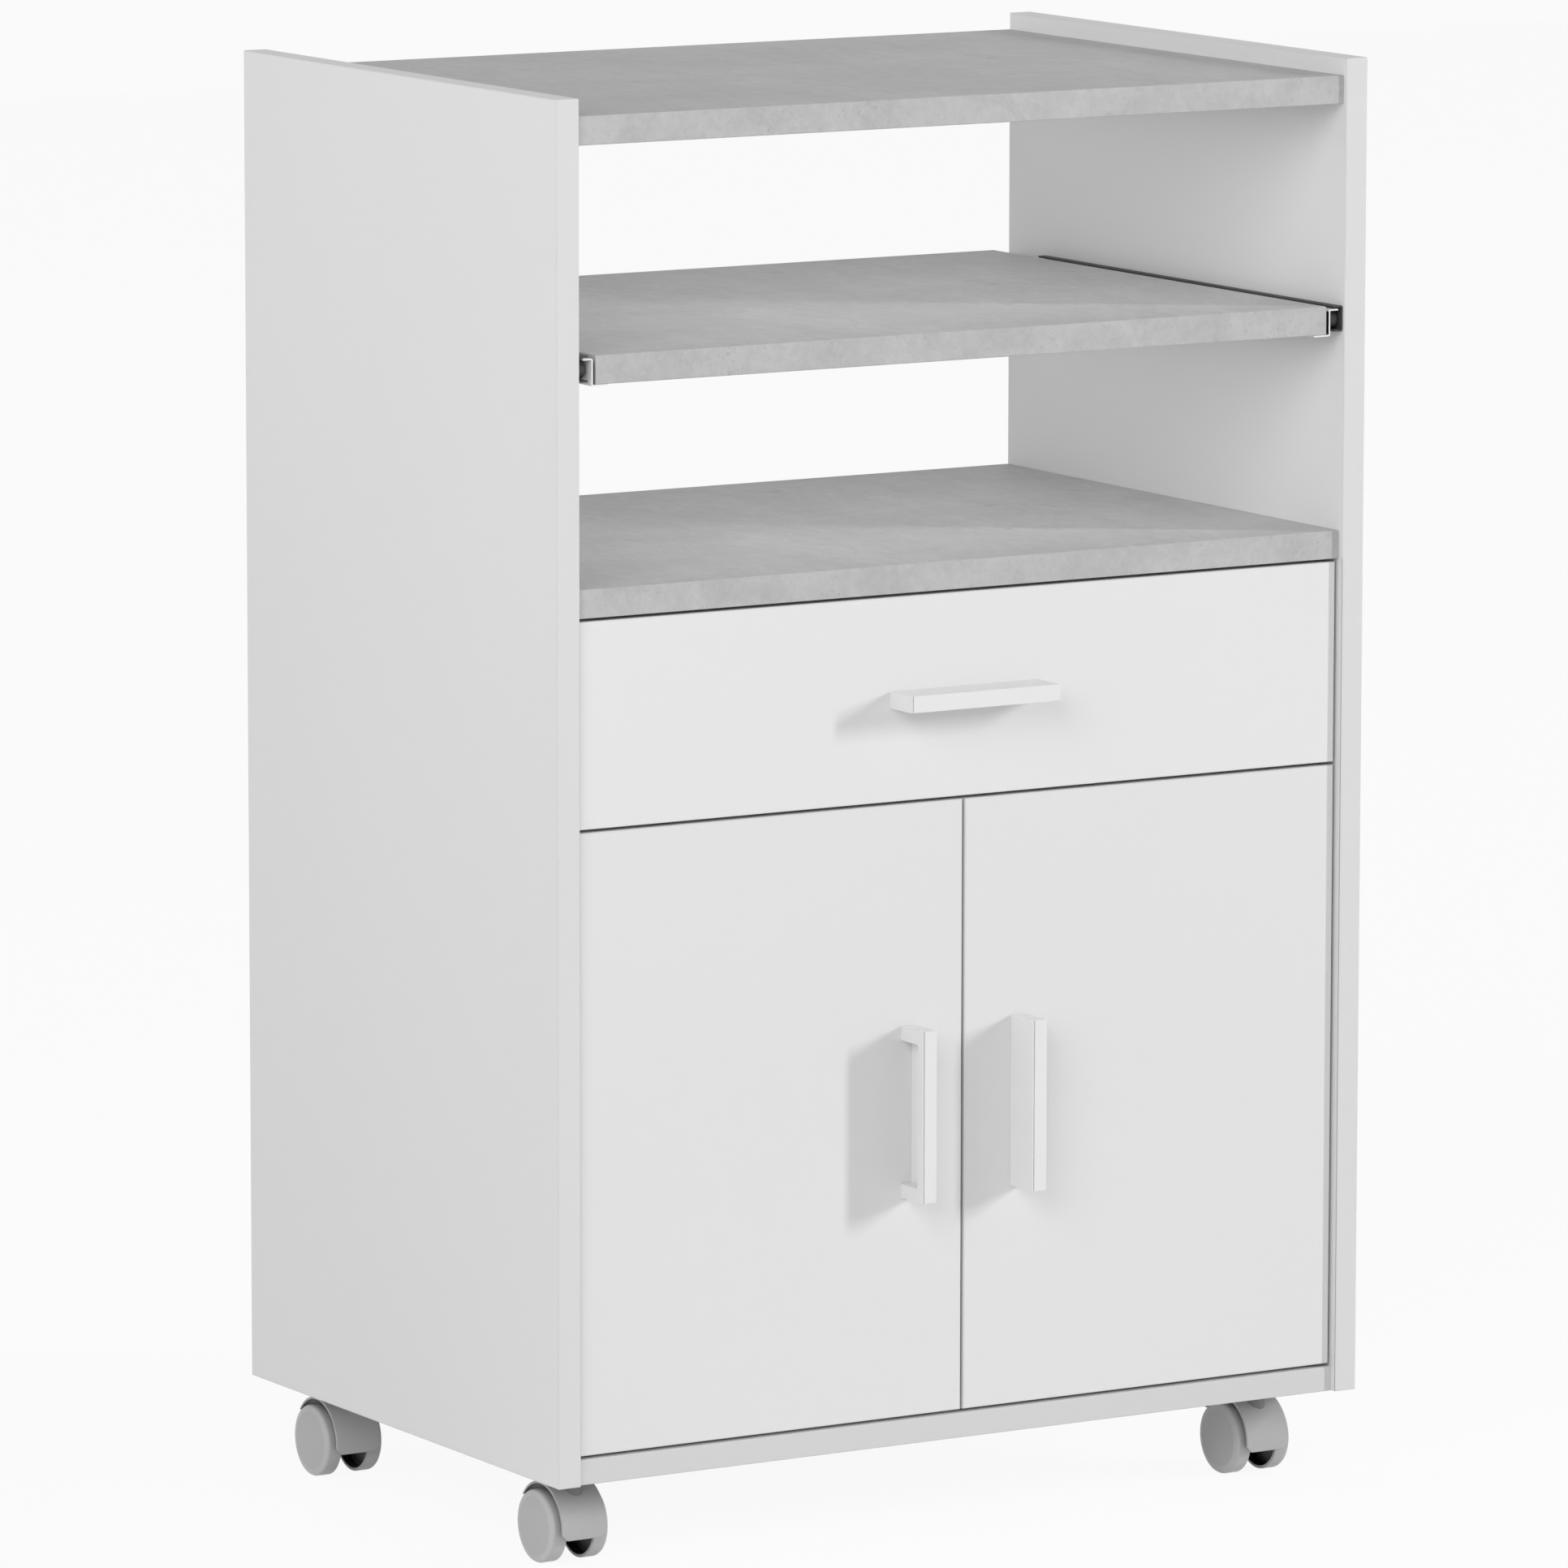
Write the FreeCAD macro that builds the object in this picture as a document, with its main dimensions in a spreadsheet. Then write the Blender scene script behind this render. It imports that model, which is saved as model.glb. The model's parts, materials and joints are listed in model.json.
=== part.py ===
import FreeCAD, Part
import os
import Sketcher
from FreeCAD import Rotation, Vector

# Kitchen cart on four twin-wheel casters: two side panels carry a top board, a pull-out
# shelf, a worktop, a drawer and a cupboard with two doors.
# Row frame: +X to the right, +Y to the back, +Z up; the floor is z = 0 and the origin lies
# under the middle of the cart, handles included. Millimetres.

doc = FreeCAD.newDocument("kitchen_cart")
sheet = doc.addObject("Spreadsheet::Sheet", "sizes")

driving_sizes = [
    # carcass
    ("overall_width", 590, "over both side panels"),
    ("carcass_depth", 400, "front edge to back edge of the side panels"),
    ("panel_height", 858, "side panel, lower end to upper end"),
    ("side_thickness", 16, "side panels"),
    ("board_thickness", 18, "top board, pull-out shelf and worktop"),
    ("bottom_thickness", 16, "bottom board"),
    ("front_thickness", 16, "drawer front and doors"),
    ("top_drop", 11, "side panels stand this far above the top board"),
    ("shelf_level", 683, "underside of the pull-out shelf above the panels' lower end"),
    ("worktop_level", 539.5, "underside of the worktop above the panels' lower end"),
    ("top_recess", 3, "top board behind the panels' front edges"),
    ("shelf_recess", 2, "pull-out shelf behind the panels' front edges"),
    ("worktop_recess", 4, "worktop behind the panels' front edges"),
    ("bottom_recess", 4, "bottom board behind the panels' front edges"),
    ("front_recess", 5, "drawer front and doors behind the panels' front edges"),
    ("edge_round", 0.8, "rounding of the edge bands"),
    # fronts
    ("drawer_front_height", 128.5, "drawer front"),
    ("front_gap", 2, "above and below the drawer front and the doors"),
    ("side_gap", 2, "between a front and the side panel beside it"),
    ("meeting_gap", 2, "between the two doors"),
    # back panel in its groove
    ("back_thickness", 3, "back panel"),
    ("back_inset", 10, "back face of the back panel before the carcass's back edge"),
    ("groove_depth", 6, "grooves that hold the back panel and the drawer bottom"),
    ("groove_clearance", 0.2, "slack in a groove"),
    # front rail between drawer and cupboard
    ("rail_board_thickness", 16, "front rail"),
    ("rail_board_depth", 70, "front rail, front to back"),
    ("rail_board_clearance", 1, "front rail behind the back faces of the fronts"),
    ("rail_board_lift", 1, "front rail above the doors, clear of their swing"),
    # cam fittings
    ("cam_radius", 7.5, "cam lock"),
    ("cam_depth", 12.5, "cam lock in a carcass board"),
    ("cam_setback", 24, "cam centre from the side panel's inner face"),
    ("bolt_radius", 3, "cam bolt"),
    ("bolt_grip", 11, "cam bolt screwed into a panel"),
    ("bolt_inset", 50, "cam bolt from the carcass's front and back edges"),
    ("fitting_clearance", 0.1, "between a cam fitting and its bore"),
    ("cam_slot_width", 1.4, "driver slot across a cam"),
    ("cam_slot_depth", 2, "driver slot"),
    # screws
    ("screw_radius", 1.6, "wood screw shank"),
    ("screw_length", 11, "wood screw under its head"),
    ("screw_head_radius", 3.2, "wood screw head"),
    ("screw_head_height", 1.1, "wood screw head"),
    ("screw_clearance", 0.2, "screw hole in sheet metal, beyond the shank"),
    # roller slides
    ("runner_length", 350, "roller slides, front to back"),
    ("slide_width", 10.5, "panel face to the inner face of the moving member"),
    ("slide_height", 16.2, "top of the moving member above the board it carries"),
    ("slide_metal", 1, "sheet of the moving member"),
    ("slide_flange_out", 6, "upper flange of the moving member"),
    ("slide_flange_in", 12, "lower flange of the moving member, under the board"),
    ("slide_screw_inset", 40, "slide screws from both ends of a slide"),
    ("rail_metal", 1.2, "sheet of the fixed member"),
    ("rail_reach", 7, "flanges of the fixed member from the panel face"),
    ("front_roller_radius", 6, "roller of the fixed member"),
    ("rear_roller_radius", 6.9, "roller of the moving member"),
    ("roller_width", 5.2, "both rollers"),
    ("roller_inset", 9, "roller axis from the end of its member"),
    ("stud_radius", 1.5, "roller stud"),
    ("stud_head_radius", 2.6, "head that keeps the roller on its stud"),
    ("stud_head", 0.6, "thickness of that head"),
    ("running_gap", 0.05, "between a roller and what it runs on, and round a shaft"),
    ("shelf_end_gap", 2, "between the shelf's end and its moving member"),
    # drawer box
    ("drawer_side_thickness", 12, "drawer sides and back"),
    ("drawer_side_height", 85, "drawer sides"),
    ("drawer_side_spare", 5, "drawer sides beyond their slides"),
    ("drawer_lift", 6, "drawer sides above the front rail"),
    ("drawer_bottom_thickness", 3, "drawer bottom"),
    ("drawer_bottom_lift", 12, "groove above the lower edge of the drawer sides"),
    ("drawer_cam_depth", 9.5, "cam lock in a drawer side"),
    ("drawer_cam_height", 45, "drawer cam above the lower edge of the drawer side"),
    # handles
    ("handle_length", 109, "handle, end to end"),
    ("handle_width", 10.5, "handle face"),
    ("handle_projection", 26, "handle, from its front to its face"),
    ("handle_leg", 9, "solid end of a handle"),
    ("handle_bar", 6, "depth of the bar behind the face"),
    ("handle_wall", 2.5, "wall along one side of the handle"),
    ("handle_offset", 40.5, "door handle's middle from the cart's middle"),
    ("handle_round", 0.5, "rounding of the handle's face"),
    ("machine_screw_radius", 2, "handle screw"),
    ("machine_screw_bite", 9, "handle screw in the handle"),
    ("machine_screw_head_radius", 3.6, "handle screw head"),
    ("machine_screw_head", 2.2, "handle screw head height"),
    # concealed hinges
    ("cup_radius", 17.5, "hinge cup"),
    ("cup_depth", 12, "hinge cup"),
    ("cup_wall", 0.9, "hinge cup sheet"),
    ("cup_setback", 22.5, "cup centre from the door's edge"),
    ("cup_flange", 1, "flange of the cup on the door"),
    ("cup_flange_margin", 2, "flange beyond the cup"),
    ("cup_wing_width", 14, "screw wings of the cup"),
    ("cup_wing_spread", 24, "cup screws above and below the cup centre"),
    ("cup_wing_margin", 5, "wing beyond its screw"),
    ("hinge_inset", 90, "hinges from the door's upper and lower edges"),
    ("pin_depth", 8, "hinge pin behind the door's face"),
    ("pin_radius", 1.5, "hinge pin"),
    ("eye_radius", 3, "arm's eye round the pin"),
    ("arm_thickness", 2.4, "hinge arm"),
    ("arm_width", 12, "hinge arm, up and down"),
    ("arm_reach", 27, "radius of the arm's bend about the pin"),
    ("arm_clamp_length", 34, "straight end of the arm on its plate"),
    ("plate_length", 34, "hinge plate, front to back"),
    ("plate_height", 46, "hinge plate, up and down"),
    ("plate_thickness", 2, "hinge plate"),
    ("plate_screw_spread", 16, "hinge plate screws above and below the arm"),
    # casters
    ("caster_height", 61, "floor to the panels' lower end"),
    ("caster_side_inset", 41, "caster stem from the carcass's side"),
    ("caster_end_inset", 54, "caster stem from the carcass's front and back edges"),
    ("caster_trail", 13, "axle behind the stem"),
    ("caster_width", 41, "over the outer faces of a caster's two wheels"),
    ("wheel_radius", 23, "wheel"),
    ("wheel_width", 10.8, "wheel"),
    ("wheel_face_radius", 19, "flat face of a wheel"),
    ("wheel_bevel", 0.9, "bevel round that face, along the axle"),
    ("wheel_shoulder", 0.6, "rounding between the tread and the wheel's sides"),
    ("wheel_rim", 2.2, "thickness of the tread"),
    ("wheel_web", 3.6, "thickness of the wheel's disc"),
    ("wheel_hub_radius", 6.8, "wheel hub"),
    ("wheel_cap", 2, "closed face of the wheel over the axle's end"),
    ("axle_radius", 3, "caster axle"),
    ("axle_end_gap", 0.3, "axle end to the wheel's closed face"),
    ("hood_radius", 28, "caster hood"),
    ("hood_wall", 1.7, "caster hood"),
    ("hood_width", 31.8, "caster hood"),
    ("hood_drop", 5.4, "middle of the hood below the axle, at the front"),
    ("hood_corner_drop", 1.8, "hood beside the wheels below the axle, at the front"),
    ("hood_corner_width", 3.8, "that part of the hood, along the axle"),
    ("hood_back_height", 15.8, "lower edge of the hood above the axle, at the back"),
    ("hub_length", 18.8, "middle of the hood round the axle"),
    ("hub_radius", 6.5, "middle of the hood round the axle"),
    ("hood_rib", 8, "rib from the hub to the hood"),
    ("boss_radius", 6, "boss round the stem"),
    ("boss_height", 26, "boss, top to bottom"),
    ("stem_radius", 4, "caster stem"),
    ("stem_play", 0.4, "between the boss and the collar above it"),
    ("collar_radius", 12, "bearing collar under the caster plate"),
    ("collar_height", 5, "bearing collar"),
    ("caster_plate_margin", 5.5, "caster plate beyond its screws, all round"),
    ("caster_plate_thickness", 2, "caster plate"),
    ("caster_screw_spacing", 29, "screws of a caster plate, both ways"),
]
for row, (alias, size, meaning) in enumerate(driving_sizes, start=1):
    sheet.set("A%d" % row, alias)
    sheet.set("B%d" % row, str(size))
    sheet.set("C%d" % row, meaning)
    sheet.setAlias("B%d" % row, alias)
doc.recompute()


# Places worked out from the driving sizes, as expressions.
half_width = "sizes.overall_width/2"
inner_half = "(sizes.overall_width/2 - sizes.side_thickness)"
inner_width = "(sizes.overall_width - 2*sizes.side_thickness)"
proud = "(sizes.handle_projection - sizes.front_recess)"
front_y = f"({proud}/2 - sizes.carcass_depth/2)"
back_y = f"({proud}/2 + sizes.carcass_depth/2)"
fronts_y = f"({front_y} + sizes.front_recess)"
behind_fronts_y = f"({fronts_y} + sizes.front_thickness)"
base_z = "sizes.caster_height"
top_board_z = f"({base_z} + sizes.panel_height - sizes.top_drop - sizes.board_thickness)"
shelf_z = f"({base_z} + sizes.shelf_level)"
worktop_z = f"({base_z} + sizes.worktop_level)"
door_z = f"({base_z} + sizes.bottom_thickness + sizes.front_gap)"
drawer_front_z = f"({worktop_z} - sizes.front_gap - sizes.drawer_front_height)"
door_top_z = f"({drawer_front_z} - sizes.front_gap)"
door_height = f"({door_top_z} - {door_z})"
door_width = f"({inner_half} - sizes.side_gap - sizes.meeting_gap/2)"
front_rail_z = f"({door_top_z} + sizes.rail_board_lift)"
front_rail_y = f"({behind_fronts_y} + sizes.rail_board_clearance)"
back_panel_y = f"({back_y} - sizes.back_inset - sizes.back_thickness)"
drawer_z = f"({front_rail_z} + sizes.rail_board_thickness + sizes.drawer_lift)"
drawer_half = f"({inner_half} - sizes.slide_width)"
drawer_side_length = "(sizes.runner_length + sizes.drawer_side_spare)"
shelf_half = f"({inner_half} - sizes.slide_width - sizes.shelf_end_gap)"
shelf_y = f"({front_y} + sizes.shelf_recess)"
rail_floor = (
    "(sizes.slide_height - sizes.slide_metal - 2*sizes.front_roller_radius"
    " - 3*sizes.running_gap)"
)
rail_inside = "(2*sizes.rear_roller_radius + 3*sizes.running_gap)"
axle_z = "sizes.wheel_radius"
bore_of_axle = "(sizes.axle_radius + sizes.running_gap)"
pin_x = f"(-{inner_half} + sizes.side_gap + sizes.cup_setback)"
pin_y = f"({fronts_y} + sizes.pin_depth)"

turned_to = {
    "x": Rotation(Vector(0, 1, 0), 90),
    "y": Rotation(Vector(1, 0, 0), -90),
    "z": Rotation(),
}
nodes = []


def value(expression):
    return float(sheet.evalExpression(expression))


def place(made, at):
    for axis, expression in zip("xyz", at):
        made.setExpression("Placement.Base." + axis, expression)
    return made


def box(name, size, at):
    made = doc.addObject("Part::Box", name)
    for side, expression in zip(("Length", "Width", "Height"), size):
        made.setExpression(side, expression)
    return place(made, at)


def rod(name, radius, length, at, along):
    """A cylinder that starts at a point and runs along +x, +y or +z."""
    made = doc.addObject("Part::Cylinder", name)
    made.setExpression("Radius", radius)
    made.setExpression("Height", length)
    made.Placement = FreeCAD.Placement(Vector(), turned_to[along])
    return place(made, at)


def fuse(name, shapes):
    made = doc.addObject("Part::MultiFuse", name)
    made.Shapes = shapes
    return made


def cut(name, base, tools):
    made = doc.addObject("Part::Cut", name)
    made.Base = base
    made.Tool = tools[0] if len(tools) == 1 else fuse(name + "_cutters", tools)
    return made


def group(name, shapes):
    made = doc.addObject("Part::Compound", name)
    made.Links = shapes
    return made


def mirrored(name, source):
    """The same piece on the other side of the cart's middle plane."""
    made = doc.addObject("Part::Mirroring", name)
    made.Source = source
    made.Normal = (1, 0, 0)
    made.Base = (0, 0, 0)
    return made


def node(made, label):
    made.Label = label
    nodes.append(made)
    return made


def sketch_on(body, name, role):
    sketch = body.newObject("Sketcher::SketchObject", name)
    plane = [item for item in body.Origin.OriginFeatures if item.Role == role][0]
    sketch.AttachmentSupport = [(plane, "")]
    sketch.MapMode = "FlatFace"
    return sketch


def pin_point(sketch, line, end, across, up):
    """Ties one end of a sketch line to two expressions, measured from the sketch's origin."""
    for kind, expression in (("DistanceX", across), ("DistanceY", up)):
        at = sketch.addConstraint(
            Sketcher.Constraint(kind, -1, 1, line, end, value(expression))
        )
        sketch.setExpression("Constraints[%d]" % at, expression)


def outline(body, name, role, points):
    """A closed outline of straight lines through points given as expressions."""
    sketch = sketch_on(body, name, role)
    places = [Vector(value(across), value(up), 0) for across, up in points]
    for at, start in enumerate(places):
        stop = places[(at + 1) % len(places)]
        sketch.addGeometry(Part.LineSegment(start, stop), False)
    for at, (across, up) in enumerate(points):
        before = (at - 1) % len(points)
        sketch.addConstraint(Sketcher.Constraint("Coincident", before, 2, at, 1))
        pin_point(sketch, at, 1, across, up)
    return sketch


def rounded_rectangle(body, name, role, width, height, radius):
    """A rectangle from the sketch's origin to (width, height) with four rounded corners."""
    sketch = sketch_on(body, name, role)
    right = f"({width} - {radius})"
    upper = f"({height} - {radius})"
    corners = [
        ((radius, "0"), (right, "0"), (right, radius), 270),
        ((width, radius), (width, upper), (right, upper), 0),
        ((right, height), (radius, height), (radius, upper), 90),
        (("0", upper), ("0", radius), (radius, radius), 180),
    ]
    quarter = Part.Circle(Vector(), Vector(0, 0, 1), value(radius))
    turn = FreeCAD.Units.Quantity("1 deg").getValueAs("rad").Value
    for start, stop, centre, angle in corners:
        ends = [Vector(value(across), value(up), 0) for across, up in (start, stop)]
        sketch.addGeometry(Part.LineSegment(*ends), False)
        quarter.Center = Vector(value(centre[0]), value(centre[1]), 0)
        arc = Part.ArcOfCircle(quarter, angle * turn, (angle + 90) * turn)
        sketch.addGeometry(arc, False)
    for at, (start, stop, centre, angle) in enumerate(corners):
        line, arc = 2 * at, 2 * at + 1
        pin_point(sketch, line, 1, *start)
        pin_point(sketch, line, 2, *stop)
        sketch.addConstraint(Sketcher.Constraint("Coincident", line, 2, arc, 1))
        after = (line + 2) % (2 * len(corners))
        sketch.addConstraint(Sketcher.Constraint("Coincident", arc, 2, after, 1))
        curve = sketch.addConstraint(Sketcher.Constraint("Radius", arc, value(radius)))
        sketch.setExpression("Constraints[%d]" % curve, radius)
    return sketch


def padded(body, sketch, length):
    pad = body.newObject("PartDesign::Pad", body.Name + "_pad")
    pad.Profile = sketch
    pad.setExpression("Length", length)
    doc.recompute()
    return pad


def round_faces(body, feature, ways, radius):
    """Rounds all edges of the flat faces that look the given ways."""
    chosen = []
    for at, face in enumerate(feature.Shape.Faces, start=1):
        if isinstance(face.Surface, Part.Plane):
            normal = face.normalAt(0, 0)
            if any(normal.isEqual(Vector(*way), 1e-6) for way in ways):
                chosen.append("Face%d" % at)
    fillet = body.newObject("PartDesign::Fillet", body.Name + "_round")
    fillet.Base = (feature, chosen)
    fillet.setExpression("Radius", radius)
    body.Tip = fillet
    return fillet


def board(name, depth, thickness, at):
    """A board across the carcass: its rounded section runs from side panel to side panel."""
    body = doc.addObject("PartDesign::Body", name)
    section = rounded_rectangle(
        body, name + "_section", "YZ_Plane", depth, thickness, "sizes.edge_round"
    )
    padded(body, section, inner_width)
    return place(body, at)


def front(name, width, height, at):
    """A drawer front or door: its back face lies on the local XZ plane."""
    body = doc.addObject("PartDesign::Body", name)
    corners = [("0", "0"), (width, "0"), (width, height), ("0", height)]
    face = outline(body, name + "_face", "XZ_Plane", corners)
    pad = padded(body, face, "sizes.front_thickness")
    round_faces(body, pad, [(0, -1, 0)], "sizes.edge_round")
    return place(body, at)


def wood_screw(name, along, sign, at):
    """A screw whose head bears at a point. Returns the screw and its shank, the cutter."""
    where = list(at)
    axis = "xyz".index(along)
    seat = where[axis]
    reach = "sizes.screw_length" if sign > 0 else "-sizes.screw_length"
    where[axis] = seat if sign > 0 else f"({seat} + {reach})"
    shank = rod(name + "_shank", "sizes.screw_radius", "sizes.screw_length", where, along)
    where[axis] = f"({seat} - sizes.screw_head_height)" if sign > 0 else seat
    head = rod(name + "_head", "sizes.screw_head_radius", "sizes.screw_head_height", where, along)
    return fuse(name, [head, shank]), shank


def clearance_hole(name, along, depth, at):
    """A hole through sheet metal, centred on its plane, a little wider than a screw."""
    where = list(at)
    axis = "xyz".index(along)
    where[axis] = f"({where[axis]} - {depth})"
    radius = "(sizes.screw_radius + sizes.screw_clearance)"
    return rod(name, radius, f"(2*{depth})", where, along)


# --- cam fittings of the carcass: a bolt in the panel, a cam in the board's underside ---

cam_locks = []
cam_bolts = []
panel_cutters = []
board_cutters = {}


def driver_slots(name, x, y, z, radius):
    """Two crossed slots in the lower face of a cam that stands upright."""
    long_side = f"(1.2*{radius})"
    wide = "sizes.cam_slot_width"
    deep = "(2*sizes.cam_slot_depth)"
    low = f"({z} - sizes.cam_slot_depth)"
    across = (f"({x} - {long_side}/2)", f"({y} - {wide}/2)", low)
    along = (f"({x} - {wide}/2)", f"({y} - {long_side}/2)", low)
    return [
        box(name + "_slot_across", (long_side, wide, deep), across),
        box(name + "_slot_along", (wide, long_side, deep), along),
    ]


def cam_joint(board_name, spot, y, z, thickness):
    """Joins the left end of a board, whose underside is at z, to the left side panel."""
    name = f"{board_name}_{spot}_cam"
    bolt_z = f"({z} + {thickness}/2)"
    centre_x = f"(-{inner_half} + sizes.cam_setback)"
    slack_radius = "(sizes.bolt_radius + sizes.fitting_clearance)"
    bolt_start = (f"(-{inner_half} - sizes.bolt_grip)", y, bolt_z)
    bolt_length = "(sizes.bolt_grip + sizes.cam_setback)"
    bolt = rod(name + "_bolt", "sizes.bolt_radius", bolt_length, bolt_start, "x")
    bore_length = "(sizes.cam_setback + sizes.bolt_radius)"
    bore = rod(name + "_bore", slack_radius, bore_length, (f"-{inner_half}", y, bolt_z), "x")
    cam = rod(name + "_disc", "sizes.cam_radius", "sizes.cam_depth", (centre_x, y, z), "z")
    slots = driver_slots(name, centre_x, y, z, "sizes.cam_radius")
    cam_locks.append(cut(name, cam, [bore] + slots))
    cam_bolts.append(bolt)
    panel_cutters.append(bolt)
    pocket_radius = "(sizes.cam_radius + sizes.fitting_clearance)"
    pocket_depth = "(sizes.cam_depth + sizes.fitting_clearance)"
    pocket = rod(name + "_pocket", pocket_radius, pocket_depth, (centre_x, y, z), "z")
    here = board_cutters.setdefault(board_name, [])
    here += [bore, pocket, mirrored(name + "_bore_right", bore)]
    here.append(mirrored(name + "_pocket_right", pocket))


near_front = f"({front_y} + sizes.bolt_inset)"
near_back = f"({back_y} - sizes.bolt_inset)"
for board_name, z, thickness in (
    ("top_board", top_board_z, "sizes.board_thickness"),
    ("worktop", worktop_z, "sizes.board_thickness"),
    ("bottom_board", base_z, "sizes.bottom_thickness"),
):
    cam_joint(board_name, "front", near_front, z, thickness)
    cam_joint(board_name, "back", near_back, z, thickness)
cam_joint(
    "front_rail", "middle", f"({front_rail_y} + sizes.rail_board_depth/2)", front_rail_z,
    "sizes.rail_board_thickness",
)
left_cams = group("left_cam_locks", cam_locks)
left_bolts = group("left_cam_bolts", cam_bolts)
node(group("cam_locks", [left_cams, mirrored("right_cam_locks", left_cams)]), "cam_locks")
node(group("cam_bolts", [left_bolts, mirrored("right_cam_bolts", left_bolts)]), "cam_bolts")


# --- roller slides, made for the left side and mirrored ---

left_screws = []


def stud(name, at, length, toward):
    """A roller stud along x with its head at the far end."""
    sign = 1 if toward == "inner" else -1
    head_step = f"({length} - sizes.stud_head)"
    shank_x = at[0] if sign > 0 else f"({at[0]} - {length})"
    head_x = f"({at[0]} + {head_step})" if sign > 0 else f"({at[0]} - {length})"
    shank = rod(name + "_shank", "sizes.stud_radius", length, (shank_x, at[1], at[2]), "x")
    head_at = (head_x, at[1], at[2])
    head = rod(name + "_head", "sizes.stud_head_radius", "sizes.stud_head", head_at, "x")
    return [shank, head]


def roller(name, radius, at):
    """A nylon ring on its stud."""
    ring = rod(name + "_ring", radius, "sizes.roller_width", at, "x")
    bore_radius = "(sizes.stud_radius + sizes.running_gap)"
    bore = rod(name + "_bore", bore_radius, "sizes.roller_width", at, "x")
    return cut(name, ring, [bore])


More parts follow.
